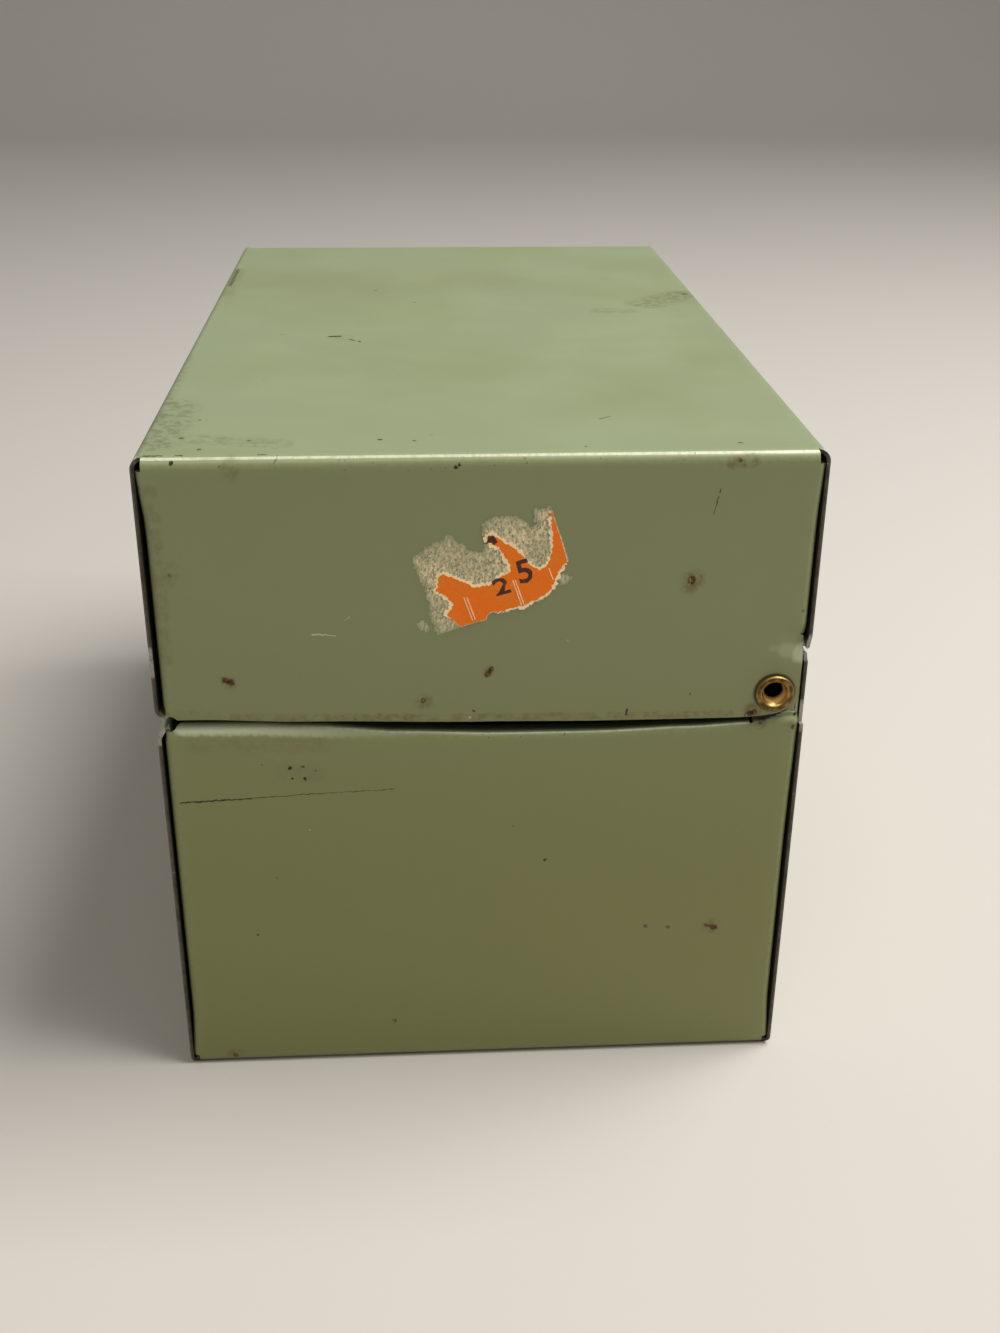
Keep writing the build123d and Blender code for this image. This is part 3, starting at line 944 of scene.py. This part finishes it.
# Marks on the right end as (y, z), and on the top as (x, y), in millimetres. A dot is its place and
# half width, and a dash is two places and half width; a strength from 0 to 1 may follow.
lid_end_marks = {
    "rust": [
        (-31.8, 58.95, -31, 58.7, 0.42), (-31, 58.7, 0.48), (0.35, 59, 0.85, 59.7, 0.36),
        (24.98, 71.07, 0.55), (33.2, 52.6, 34, 53, 0.42), (-7.55, 55.56, 0.34, 0.9),
        (29.8, 86, 0.3, 0.8), (-37.1, 72.8, 0.28, 0.5),
    ],
    "dark": [
        (-3.35, 85.6, 0.24), (-2.95, 85.9, 0.16), (-35.8, 86.4, 0.22), (17.9, 53.8, 17.8, 53.1, 0.13, 0.9),
        (-1.3, 54, 0.18, 0.8), (25.7, 55.7, 0.12, 0.8), (27.7, 82.5, 27.6, 82.1, 0.07, 0.9),
        (27.5, 81.6, 27.1, 79.4, 0.06, 0.9), (33.7, 52.85, 0.34), (-31.2, 58.75, 0.2),
        (0.7, 59.55, 0.2, 0.8),
    ],
    "pale": [
        (-20.8, 64.85, -18, 64.65, 0.08), (-17, 66.5, -16.3, 67.1, 0.06, 0.6), (10.2, 63.4, 0.1, 0.7),
        (-1.8, 53.1, 0.16, 0.9), (33.1, 52.5, 0.13, 0.8), (24.72, 71.22, 0.1, 0.9),
    ],
    "smudge": [
        (24.98, 71, 1.5, 1), (-36.9, 73.4, -37.4, 72.3, 1.1, 0.5), (-29, 86, -29.4, 85.2, 1, 0.6),
        (-38.4, 83, -38.5, 62, 0.9, 0.5), (-31.2, 58.6, 0.9, 0.8), (29, 85.8, 31.4, 85.9, 0.8, 0.9),
        (-31, 53.7, -9, 53.2, 0.6, 0.8), (-9, 53.2, 31, 52.8, 0.5, 0.8), (33.7, 53, 1.3, 1),
        (0.7, 59.4, 0.8, 0.6), (-7.55, 55.4, 1.1, 0.8), (-38, 54.4, -33, 54, 0.7, 0.5),
    ],
    "bare": [(39.3, 60.9, 39.5, 62.2, 0.26), (39.1, 60.4, 0.16, 0.9), (39.45, 59.6, 0.1, 0.7)],
    # Rubbed paint by the back notch, painted bright as the highlight on the dent there
    "scuff": [
        (35.6, 61.8, 38.6, 61.4, 0.42, 0.12), (37.2, 61.5, 39.2, 61.3, 0.9, 0.22), (39.3, 61, 1.2, 0.55),
    ],
}
lid_top_marks = {
    "dark": [
        (8.3, -20.2, 8.2, -18.9, 0.4), (10.3, -17.3, 10.9, -16.6, 0.24, 0.8), (11.6, -15.75, 0.3),
        (-25.8, -14.1, 0.4, 0.5), (-15.8, -7.4, 0.3, 0.5), (53.7, 15.1, 52.5, 16.7, 0.13, 0.7),
        (61.6, -12.1, 0.3, 0.9), (62.2, -8, 0.22, 0.7), (-21, 38.6, 0.5, 0.8), (60.4, -35.6, 0.35, 0.7),
        (52.7, -34.4, 0.28, 0.6), (-30, -39.2, -45, -39.2, 0.35, 0.6), (64.9, -33, 0.3, 0.8),
        (61.4, -27.5, 0.24, 0.7), (65.4, 12, 0.2, 0.6), (64.6, 30.5, 0.3, 0.8),
        (67.2, -39, 67.2, -37, 0.16, 0.9), (67.2, -35.3, 67.2, -34.7, 0.14, 0.8),
        (67.2, -26, 67.2, -25.2, 0.14, 0.8),
    ],
    "smudge": [
        (-14, 31, -20.5, 38, 3.4, 0.9), (-8.7, 22.6, -8.6, 27.5, 1.9, 0.5),
        (47, -39, 62, -39, 3.6, 0.9), (60, -37, 63, -24, 1.8, 0.6),
        (-22, -39.8, -45, -39.6, 1.8, 0.6), (9, -18.5, 1.5, 0.4), (20, -40, 47, -39.8, 1, 0.6),
    ],
}
body_end_marks = {
    "rust": [
        (31.13, 20.35, 0.46), (30, 20.7, 31, 20.4, 0.24, 0.8), (24.85, 20.57, 0.3, 0.9),
        (21.84, 20.85, 0.28, 0.8), (-34.33, 1.31, 0.42, 0.7), (-12.27, 6.4, 0.32, 0.9),
        (35, 51.3, 0.24, 0.8), (39.2, 50.7, 0.32, 0.8),
    ],
    "dark": [
        (-24.47, 46.5, 0.25), (-22.84, 46.6, 0.16, 0.8), (-21.24, 46, 0.13, 0.8), (-22.67, 44.9, 0.24),
        (-24.18, 44.95, 0.18), (-27.9, 47, 0.11, 0.8), (-27, 30.2, 0.13, 0.6), (-30.05, 21.3, 0.16),
        (7.97, 31.8, 0.2, 0.9), (3.84, 37.1, 0.11, 0.6), (-38.55, 41.8, -29.6, 42.25, 0.1, 0.95),
        (-29.6, 42.25, -20, 42.75, 0.065, 0.8), (-20, 42.75, -11.4, 43.1, 0.055, 0.7),
        (39.45, 52.3, 0.26), (39.25, 50.7, 0.16, 0.8),
    ],
    # The dash from 37.85 to 39.3 is a painted highlight along the ear's joggle fold; the rest are worn specks
    # and scratches
    "pale": [
        (-22.4, 37.3, 0.1), (-36.2, 51.85, 0.13), (-35.5, 52, 0.08), (-33.9, 51.9, 0.14),
        (37.85, 52.55, 39.3, 52.7, 0.06), (-33.5, 52.1, 0.07), (-32.3, 52, 0.13), (-32.8, 51.7, 0.08),
        (-31, 51.8, -29.6, 51.75, 0.05),
    ],
    "smudge": [
        (-36, 50, -20, 49.6, 1, 0.35), (-34.3, 1.4, 1.3, 0.8), (30.8, 20.5, 1.2, 0.9),
        (38.9, 50.7, 0.8, 0.6), (-25, 46, -21.5, 45.6, 1.2, 0.3), (35, 51.2, 0.7, 0.6),
    ],
    # A painted highlight along the lip's rolled bend, with rubbed paint
    "scuff": [
        (-37.6, 52.35, -28, 52.15, 0.92), (-28, 52.15, -19, 51.65, 0.92),
        (-19, 51.65, -6, 51, 0.92),
    ],
    "shade": [
        (-39.3, 53.2, -38.5, 52.8, 0.36), (32, 52, 35.4, 52, 0.46), (35.4, 52.05, 36.8, 52.3, 0.34),
        (36.8, 52.3, 38, 52.9, 0.26), (38, 52.9, 39.1, 54.2, 0.22), (39.35, 52.9, 39.4, 54.6, 0.08, 0.8),
    ],
}


def enamel_material(name, colours, group, end_marks, top_marks=None):
    """Worn sage enamel: mottled, yellowed in patches, chipped and rusted, with painted shade in its grooves
    and low on its sides, and painted highlights along its folds.
    """
    g = Finish(name, colours.enamel)
    parts = g.split(g.point)
    facing = g.split(g.node("ShaderNodeTexCoord").outputs["Normal"])
    fold, crevice = g.stored("fold"), g.stored("crevice")
    wobble = g.vector("SUBTRACT", g.cloud(1500.0, output="Color"), (0.5, 0.5, 0.5))
    ragged = g.vector("ADD", g.point, g.vector("SCALE", wobble, 0.55 * MM))
    bits = g.split(ragged)
    end_point = g.join(bits[1], bits[2])
    on_end = g.times(g.over(parts[0], half_length - 1.6 * MM), g.over(facing[0], -0.2))

    def masked(kind):
        mask = g.times(strokes(g, group, end_point, end_marks[kind]), on_end)
        if top_marks and kind in top_marks:
            on_top = g.times(g.over(parts[2], box_height - 0.6 * MM), g.over(facing[2], 0.3))
            marks = strokes(g, group, g.join(bits[0], bits[1]), top_marks[kind])
            mask = g.most(mask, g.times(marks, on_top))
        return mask

    mottle, fine = g.cloud(55.0, 4.0, 0.6), g.cloud(900.0, 2.0)
    patches = g.fit(g.cloud(22.0, 3.0, 0.55), 0.40, 0.70)
    # Painted shade: faces that don't face up take the aged colour, more of it towards the bottom
    lower = g.times(g.fit(parts[2], 78 * MM, 25 * MM, 0.50, 0.90), g.fit(facing[2], 0.9, 0.5))
    g.paint(tint(colours.enamel, 1.09), g.fit(mottle, 0.45, 0.75), 0.40)
    g.paint(tint(colours.enamel, 0.86), g.fit(fine, 0.62, 0.80), 0.20)
    g.paint(colours.aged, g.most(g.times(patches, 0.30), lower))

    # A painted highlight runs along the bend where the end folds into the top; all folds are a little paler
    # too, partly worn paint and partly painted highlight
    edge_noise = g.cloud(1400.0, 3.0, 0.6)
    painted_crown_highlight = g.times(g.fit(facing[2], 0.74, 0.82), g.fit(facing[2], 0.945, 0.895), g.times(fold, on_end))
    g.paint((0.72, 0.74, 0.56), painted_crown_highlight, g.fit(edge_noise, 0.35, 0.62, 0.55, 0.95))
    g.paint(tint(colours.enamel, 1.35, 0.02), fold, g.fit(edge_noise, 0.35, 0.65, 0.02, 0.12))
    fold_chips = g.times(fold, g.fit(edge_noise, 0.665, 0.71))

    smudges = g.times(masked("smudge"), g.fit(g.cloud(700.0, 5.0, 0.72), 0.40, 0.62, 0.10, 1.0))
    stain = g.mix(g.fit(facing[2], 0.7, 0.9), colours.stain, (0.135, 0.140, 0.070))
    g.paint(stain, smudges, 0.75)

    cells = g.node("ShaderNodeTexVoronoi", {"Vector": ragged, "Scale": 150.0}).outputs
    chosen = g.node("ShaderNodeSeparateColor", {0: cells["Color"]}).outputs[0]
    size = g.fit(chosen, 0.90, 1.0, 0.0, 0.055)
    specks = g.fit(g.calc("SUBTRACT", cells["Distance"], size), 0.02, -0.02)
    specks = g.times(specks, g.over(chosen, 0.962), 0.6)
    rust = g.times(g.most(masked("rust"), specks), g.fit(g.cloud(2600.0, 2.0), 0.30, 0.50, 0.35, 1.0))
    g.paint(colours.rust, rust)
    dark = g.most(masked("dark"), g.times(fold_chips, 0.55))
    g.paint(colours.grime_and_shade, dark)
    # Pale scratches and worn specks; on the body one dash is a painted highlight along the ear's joggle fold
    g.paint((0.62, 0.62, 0.48), masked("pale"), 0.7)

    # Rubbed paint, painted brighter as a highlight: on the body it is the lit band along the lip's bend,
    # fading towards its middle; only the lid is bare anywhere
    scuff_highlight_mask = masked("scuff")
    if "bare" not in end_marks:
        scuff_highlight_mask = g.times(scuff_highlight_mask, g.fit(parts[1], -6 * MM, -37 * MM, 0.0, 0.85))
    g.paint((0.58, 0.64, 0.45), scuff_highlight_mask)
    if "bare" in end_marks:
        g.paint(colours.steel, masked("bare"))

    # Painted shadow with some dirt rings the eyelet's flange, painted shade fills the grooves, and the shade
    # marks paint shadow under the tongue and in a notch
    shade_and_dirt = g.most(g.times(g.fit(g.from_pin(parts), 2.85 * MM, 2.45 * MM), 0.85), crevice)
    if "shade" in end_marks:
        shade_and_dirt = g.most(shade_and_dirt, masked("shade"))
    g.paint(colours.grime_and_shade, shade_and_dirt)

    # Roughness rises on dark marks, rust and the painted shade alike
    worn = g.times(g.most(dark, shade_and_dirt, rust), 0.45)
    rough = g.calc("ADD", g.fit(mottle, 0.3, 0.7, 0.30, 0.40), worn, clamp=True)
    rough = g.calc("ADD", rough, g.times(smudges, 0.18), clamp=True)
    skin = g.calc("ADD", g.times(g.cloud(620.0, 2.0), 0.5), g.times(g.cloud(110.0, 2.0), 1.6))
    return g.finished(rough, skin, 0.045 * MM, 0.45)


def edge_material(colours):
    """Raw edge of the sheet: dirty inside, paler outside, and bare where the notches are."""
    g = Finish("raw_steel_edge", (0.016, 0.014, 0.008))
    parts = g.split(g.point)
    patch, grain = g.cloud(900.0, 4.0, 0.6), g.cloud(5200.0, 2.0)
    g.paint((0.060, 0.045, 0.024), g.fit(patch, 0.35, 0.65))
    outside = g.fit(g.calc("ABSOLUTE", parts[1]), half_depth - 0.26 * MM, half_depth - 0.14 * MM)
    g.paint((0.105, 0.094, 0.058), outside, g.fit(patch, 0.28, 0.50, 0.35, 0.95))
    bare = g.mix(g.fit(grain, 0.3, 0.7), tint(colours.steel, 0.55), colours.steel)
    notches = [
        g.calc("ABSOLUTE", g.calc("SUBTRACT", parts[2], height))
        for height in (lid_edge - 0.2 * MM, body_back_edge + 0.3 * MM)
    ]
    near = g.fit(g.calc("MINIMUM", *notches), 2.3 * MM, 1.7 * MM)
    near = g.times(near, g.fit(patch, 0.30, 0.55, 0.35, 1.0))
    glints = g.most(near, g.fit(patch, 0.68, 0.73, 0.0, 0.8))
    g.paint(bare, glints)
    rough = g.fit(grain, 0.3, 0.7, 0.42, 0.68)
    return g.finished(rough, grain, 0.03 * MM, 0.6, {"Metallic": g.times(glints, 0.75)})


def brass_material(colours):
    """Brass tarnished on its flange, with a painted highlight on the eyelet's throat and painted shade deep
    in its bore.
    """
    g = Finish("aged_brass", colours.brass)
    parts = g.split(g.point)
    radius = g.from_pin(parts)
    patch, grain = g.cloud(1300.0, 4.0, 0.6), g.cloud(6500.0, 2.0)
    rim = g.fit(radius, 1.55 * MM, 1.95 * MM)
    g.paint(colours.tarnish, rim, g.fit(patch, 0.25, 0.60, 0.55, 1.0))
    g.paint(colours.brass, g.fit(radius, 2.22 * MM, 2.34 * MM), 0.55)
    g.paint(colours.grime_and_shade, g.fit(grain, 0.68, 0.78), 0.6)
    depth = g.calc("SUBTRACT", half_length, g.calc("ABSOLUTE", parts[0]))
    # Painted shade deep in the bore, then a painted highlight on the throat's wall near its mouth
    g.paint(colours.grime_and_shade, g.fit(depth, 0.72 * MM, 1.0 * MM), g.fit(radius, 1.56 * MM, 1.46 * MM))
    throat = g.times(g.fit(radius, 1.50 * MM, 1.38 * MM), g.fit(depth, 0.85 * MM, 0.50 * MM))
    g.paint(tint(colours.brass, 1.5), throat)
    rough = g.calc("ADD", g.fit(patch, 0.3, 0.7, 0.24, 0.38), g.times(rim, 0.16))
    metallic = g.calc("SUBTRACT", 1.0, g.times(throat, 0.6))
    return g.finished(rough, grain, 0.02 * MM, 0.5, {"Metallic": metallic})


def residue_material(colours):
    """Fibres left on the enamel where the label's face has been torn away."""
    g = Finish("label_fibres", tint(colours.enamel, 0.92))
    sockets = {"Vector": g.point, "Rotation": (0.5, 0.0, 0.0), "Scale": (1.0, 1.0, 0.55)}
    fibre = g.cloud(3600.0, 5.0, 0.78, g.node("ShaderNodeMapping", sockets).outputs[0])
    web = g.node("ShaderNodeTexVoronoi", {"Vector": g.point, "Scale": 2500.0}, feature="DISTANCE_TO_EDGE")
    threads = g.fit(web.outputs["Distance"], 0.20, 0.03)
    cover = g.calc("ADD", g.fit(fibre, 0.40, 0.56), g.times(threads, 0.55), clamp=True)
    broad = g.fit(g.cloud(330.0), 0.35, 0.65, 0.68, 1.0)
    cover = g.times(cover, broad, g.fit(g.stored("margin"), 0.0, 0.6, 0.42, 1.0))
    fibres = g.mix(g.fit(fibre, 0.50, 0.66), tint(colours.paper, 0.82), tint(colours.paper, 1.18))
    g.paint(fibres, cover)
    return g.finished(0.85, cover, 0.05 * MM, 0.9)


def paper_material(colours):
    """Pale torn paper that shows round the print."""
    g = Finish("label_torn_paper", [c * 1.22 for c in colours.paper])
    fibre = g.cloud(3800.0, 4.0, 0.65)
    g.paint(colours.paper, g.fit(g.cloud(500.0), 0.35, 0.65), 0.5)
    g.paint(tint(colours.paper, 0.6), g.fit(fibre, 0.55, 0.72, 0.0, 0.5))
    return g.finished(0.88, fibre, 0.03 * MM, 0.8)


def print_material(colours):
    """Orange print, faded and rubbed, with the paper's fibre under it."""
    g = Finish("label_print", colours.orange)
    fibre = g.cloud(4200.0, 3.0, 0.6)
    warm = [c * share for c, share in zip(colours.orange, (0.92, 1.16, 2.0))]
    g.paint(warm, g.fit(g.cloud(420.0, 3.0, 0.6), 0.4, 0.7))
    g.paint(tint(colours.orange, 0.55), g.fit(fibre, 0.56, 0.72, 0.0, 0.45))
    g.paint(colours.paper, g.fit(g.cloud(1900.0, 4.0, 0.7), 0.66, 0.74, 0.0, 0.55))
    return g.finished(0.62, fibre, 0.02 * MM, 0.6, {"Specular IOR Level": 0.25})


def ink_material(colours):
    """Stamped ink, uneven over the print."""
    g = Finish("label_ink", colours.ink)
    patch = g.cloud(2400.0, 3.0, 0.6)
    g.paint((0.20, 0.055, 0.018), g.fit(patch, 0.52, 0.72, 0.0, 0.8))
    return g.finished(0.6, patch, 0.01 * MM, 0.5)


def floor_material(colours):
    """Matt studio floor with a faint tone."""
    g = Finish("studio_floor", colours.floor)
    g.paint(tint(colours.floor, 0.985), g.fit(g.cloud(3.0, 2.0), 0.3, 0.7))
    return g.finished(0.9, g.cloud(300.0), 0.05 * MM, 0.1)


def settings():
    """The scene's own sizes, colours and stage."""
    return [getattr(bpy.context.scene, name) for name in GROUPS]


def add_lamp(name, place, size, power, colour):
    """One soft square lamp that points at the middle of the box."""
    light = bpy.data.lights.new(name, "AREA")
    light.shape = "SQUARE"
    light.size = size
    light.energy = power
    light.color = colour
    turn = (Vector((0.0, 0.0, box_height / 2)) - Vector(place)).to_track_quat("-Z", "Y")
    link(name, light).matrix_world = Matrix.Translation(place) @ turn.to_matrix().to_4x4()


class RECIPEBOX_OT_stage(bpy.types.Operator):
    """Sets up the camera, the lamps, the room light and the pale floor"""

    bl_idname = "recipebox.stage"
    bl_label = "Set the Stage"

    def execute(self, context):
        _, colours, stage = settings()
        scene = context.scene
        scene.view_settings.view_transform = "Standard"
        lens = bpy.data.cameras.new("camera")
        lens.lens = stage.lens
        lens.sensor_width = 36.0
        lens.clip_start = 0.01
        camera = link("camera", lens)
        camera.matrix_world = (
            Matrix.Translation(stage.place)
            @ Matrix.Rotation(stage.turn, 4, "Z")
            @ Matrix.Rotation(stage.tilt, 4, "X")
            @ Matrix.Rotation(stage.roll, 4, "Z")
        )
        scene.camera = camera

        bm = bmesh.new()
        reach, wall, radius = 1.6, 1.4, 0.5
        path = [(reach, 0.0), (-reach + radius, 0.0)]
        turns = [math.pi / 2 * i / 12 for i in range(1, 13)]
        path += [(-reach + radius - radius * math.sin(a), radius - radius * math.cos(a)) for a in turns]
        path += [(-reach, wall)]
        add_grid(bm, [[Vector((x, y, z)) for y in (-2.2, 0.0, 2.2)] for x, z in path])
        floor = piece_from(bm, "studio_sweep", floor_material(colours), 40)

        world = bpy.data.worlds.new("room_light")
        scene.world = world
        world.use_nodes = True
        g = Graph(world.node_tree)
        height = g.split(g.node("ShaderNodeTexCoord").outputs["Generated"])[2]
        glow = g.mix(g.fit(height, -0.2, 0.9), (0.98, 0.885, 0.69), (1.0, 0.985, 0.96))
        sky = g.node("ShaderNodeBackground", {0: glow, 1: stage.sky})
        g.node("ShaderNodeOutputWorld", {0: sky.outputs[0]})

        add_lamp("key", (0.05, 0.42, 0.80), 0.55, stage.key_power, (1.0, 0.965, 0.91))
        add_lamp("fill", (0.44, -0.10, 0.76), 0.24, stage.fill_power, (1.0, 0.92, 0.78))
        return {"FINISHED"}


class RECIPEBOX_OT_shells(bpy.types.Operator):
    """Builds the lid and the body as folded steel blanks in worn enamel"""

    bl_idname = "recipebox.shells"
    bl_label = "Build Lid and Body"

    def execute(self, context):
        sizes, colours, _ = settings()
        marks, edges = stroke_group(), edge_material(colours)
        body_enamel = enamel_material("body_enamel", colours, marks, body_end_marks)
        lid_enamel = enamel_material("lid_enamel", colours, marks, lid_end_marks, lid_top_marks)
        for build, enamel, node_name, body in (
            (build_body, body_enamel, "body_shell", "body"), (build_lid, lid_enamel, "lid_shell", "lid"),
        ):
            shell = build(sizes, [enamel, edges])
            mark_crevice_shade(shell)
            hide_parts(node_name)
            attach(shell, body)
        return {"FINISHED"}


class RECIPEBOX_OT_eyelets(bpy.types.Operator):
    """Turns the two brass eyelets of the hinge"""

    bl_idname = "recipebox.eyelets"
    bl_label = "Turn Eyelets"

    def execute(self, context):
        sizes, colours, _ = settings()
        brass = brass_material(colours)
        for side, node_name in ((1, "hinge_eyelet_right"), (-1, "hinge_eyelet_left")):
            piece = build_eyelet(side, node_name.replace("hinge_", ""), sizes, brass)
            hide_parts(node_name)
            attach(piece, "body")
        return {"FINISHED"}


# The label's outlines about its centre, in millimetres before it is slanted
paper_outline = [
    (-8.8, -6.2), (-2.4, -6.2), (-2.2, -5.75), (-1.8, -5.52), (-1.4, -5.5), (-1.1, -5.7), (-0.9, -6),
    (4.7, -5.9), (5.8, -5.3), (6.5, -4.4), (7.2, -3.4), (8.3, -2.4), (9.1, -1.9), (9.1, 1.1), (8.9, 5.6),
    (8.2, 5.4), (7.1, 5.6), (6.5, 4.8), (6.7, 3.7), (6, 3.5), (4.9, 5.2), (3.4, 5.9), (1.8, 6),
    (0.5, 5.8), (0.3, 4.4), (0.2, 3.1), (-0.3, 2.4), (-1.2, 2.5), (-2.1, 3.4), (-2.9, 4.7), (-3.5, 5.6),
    (-4.3, 5.3), (-6.5, 5.1), (-7.9, 4.3), (-8.8, 3.7), (-8.6, 2.1), (-8.3, 0.2), (-8.4, -2.2), (-8.8, -3.7),
]
print_outline = [
    (-5.8, -6), (-2.5, -6.1), (-2.3, -5.65), (-1.8, -5.38), (-1.4, -5.35), (-0.9, -5.6), (2.4, -5.75),
    (5.6, -5.1), (6.7, -4), (7.5, -2.9), (8.9, -1.85), (8.95, 1), (8.8, 5.1), (8.5, 3.6), (8.1, 1.6),
    (7.5, -0.3), (6.7, -1.5), (5.6, -1.95), (4.7, -1.4), (4.3, -0.6), (3.9, 0.6), (3.3, 1.8), (1.9, 3.3),
    (1.4, 4.1), (0.5, 3.9), (0.9, 2.9), (1.65, 2.3), (1.9, 1.2), (2.3, 0), (2.1, -1.2), (0.8, -1.3),
    (-0.7, -1.9), (-2.5, -1.8), (-3.2, -1.1), (-4.3, 0), (-5.4, 0.9), (-6.1, 1.1), (-7.1, -0.7),
    (-6.1, -2), (-5.7, -3.1), (-6.1, -3.5), (-6.8, -4), (-6.3, -4.9),
]
scrap_outline = [(0.3, 3.2), (0.9, 4.1), (1.5, 3.9), (1.7, 3.1), (1.3, 2.8), (0.8, 3.3)]
wisp_outlines = [
    [(7, -3.6), (8.3, -3.2), (8.9, -3.9), (8.1, -4.9), (7.3, -4.5)],
    [(-10.8, -4.2), (-9.9, -3.9), (-9.2, -4.9), (-9.6, -5.5), (-10.4, -5)],
]
# Each slit as its place along the label, its upper end and its lower end
slits = [(-4.2, -2.5, -5.7), (-3.85, -2.6, -5.7), (2, -2.2, -5.6), (2.3, -2.3, -5.6), (6.55, -2, -3.6)]


def border_outline():
    """The print's outline moved outward, most where the paper is torn and least where it is cut."""
    ring = [Vector(p) for p in print_outline]
    moved = []
    for before, here, after in zip(ring[-1:] + ring, ring, ring[1:] + ring[:1]):
        edge = ((here - before).normalized() + (after - here).normalized()).normalized()
        moved.append(here + Vector((edge.y, -edge.x)) * (0.06 if cut_by_machine(here) else 0.36))
    return moved


def stamped_figure(figure, place, width, height, material):
    """One plain stamped figure on the print, with its place and size in millimetres."""
    curve = bpy.data.curves.new("figure", "FONT")
    curve.body = figure
    curve.offset = 0.02
    text = link("figure", curve)
    name = "label_figure_" + figure
    mesh = applied(text, name)
    low = [min(v.co[k] for v in mesh.vertices) for k in (0, 1)]
    high = [max(v.co[k] for v in mesh.vertices) for k in (0, 1)]
    for vert in mesh.vertices:
        wobble = noise.noise(Vector((vert.co.x * 7, vert.co.y * 7, place[0]))) * 0.12
        a, b = ((vert.co[k] - low[k]) / (high[k] - low[k]) - 0.5 for k in (0, 1))
        vert.co = on_label(place[0] + a * width + wobble, place[1] + b * height - wobble, 0.115)
    bpy.data.objects.remove(text)
    mesh.materials.clear()
    mesh.materials.append(material)
    return link(name, mesh)


class RECIPEBOX_OT_label(bpy.types.Operator):
    """Sticks what is left of the price label on the lid's right end"""

    bl_idname = "recipebox.label"
    bl_label = "Stick Label"

    def execute(self, context):
        _, colours, _ = settings()
        torn = torn_edge(paper_outline, 0.20, 0.22, 11, cut_by_machine)
        printed = torn_edge(print_outline, 0.22, 0.15, 12, cut_by_machine)
        border = torn_edge(border_outline(), 0.22, 0.22, 13, cut_by_machine)
        scrap = torn_edge(scrap_outline, 0.2, 0.08, 14)
        paper, ink, fibres = paper_material(colours), ink_material(colours), residue_material(colours)
        pieces = [
            paper_layer("label_residue", torn, 0.0, 0.03, fibres, seed=2),
            *(
                paper_layer(f"label_wisp_{i + 1}", torn_edge(wisp, 0.2, 0.2, 30 + i), 0.0, 0.02, fibres, 0.3)
                for i, wisp in enumerate(wisp_outlines)
            ),
            paper_layer("label_paper", border, 0.0, 0.075, paper, curl=0.02, seed=5),
            paper_layer("label_print", printed, 0.04, 0.10, print_material(colours), curl=0.02, seed=5),
            paper_layer("label_scrap", scrap, 0.09, 0.13, ink),
            stamped_figure("2", (0.5, -2.5), 1.9, 2.2, ink),
            stamped_figure("5", (3.65, -1.5), 1.8, 3.0, ink),
        ]
        for index, (place, high, low) in enumerate(slits):
            slit = [(place - 0.05, high), (place + 0.05, high), (place + 0.16, low), (place + 0.06, low)]
            pieces.append(paper_layer(
                f"label_slit_{index + 1}", torn_edge(slit, 0.5, 0.02, 20 + index), 0.09, 0.125, paper
            ))
        for piece in pieces:
            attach(piece, "lid")
        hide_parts("price_label")
        return {"FINISHED"}


class RECIPEBOX_PT_panel(bpy.types.Panel):
    """Shows the settings, and a button for each building step"""

    bl_label = "Recipe Box"
    bl_idname = "RECIPEBOX_PT_panel"
    bl_space_type = "VIEW_3D"
    bl_region_type = "UI"
    bl_category = "Recipe Box"

    def draw(self, context):
        layout = self.layout
        for group in settings():
            box = layout.box()
            for name in group.__annotations__:
                box.prop(group, name)
        for operator in OPERATORS:
            layout.operator(operator.bl_idname)


GROUPS = {
    "recipe_box_sizes": RecipeBoxSizes,
    "recipe_box_colours": RecipeBoxColours,
    "recipe_box_stage": RecipeBoxStage,
}
OPERATORS = (RECIPEBOX_OT_stage, RECIPEBOX_OT_shells, RECIPEBOX_OT_eyelets, RECIPEBOX_OT_label)


def register():
    for made in (*GROUPS.values(), *OPERATORS, RECIPEBOX_PT_panel):
        bpy.utils.register_class(made)
    for name, group in GROUPS.items():
        setattr(bpy.types.Scene, name, bpy.props.PointerProperty(type=group))


def unregister():
    for name in GROUPS:
        delattr(bpy.types.Scene, name)
    for made in (RECIPEBOX_PT_panel, *reversed(OPERATORS), *reversed(GROUPS.values())):
        bpy.utils.unregister_class(made)


def main():
    register()
    bpy.ops.recipebox.stage()
    bpy.ops.recipebox.shells()
    bpy.ops.recipebox.eyelets()
    bpy.ops.recipebox.label()


if __name__ == "__main__":
    main()
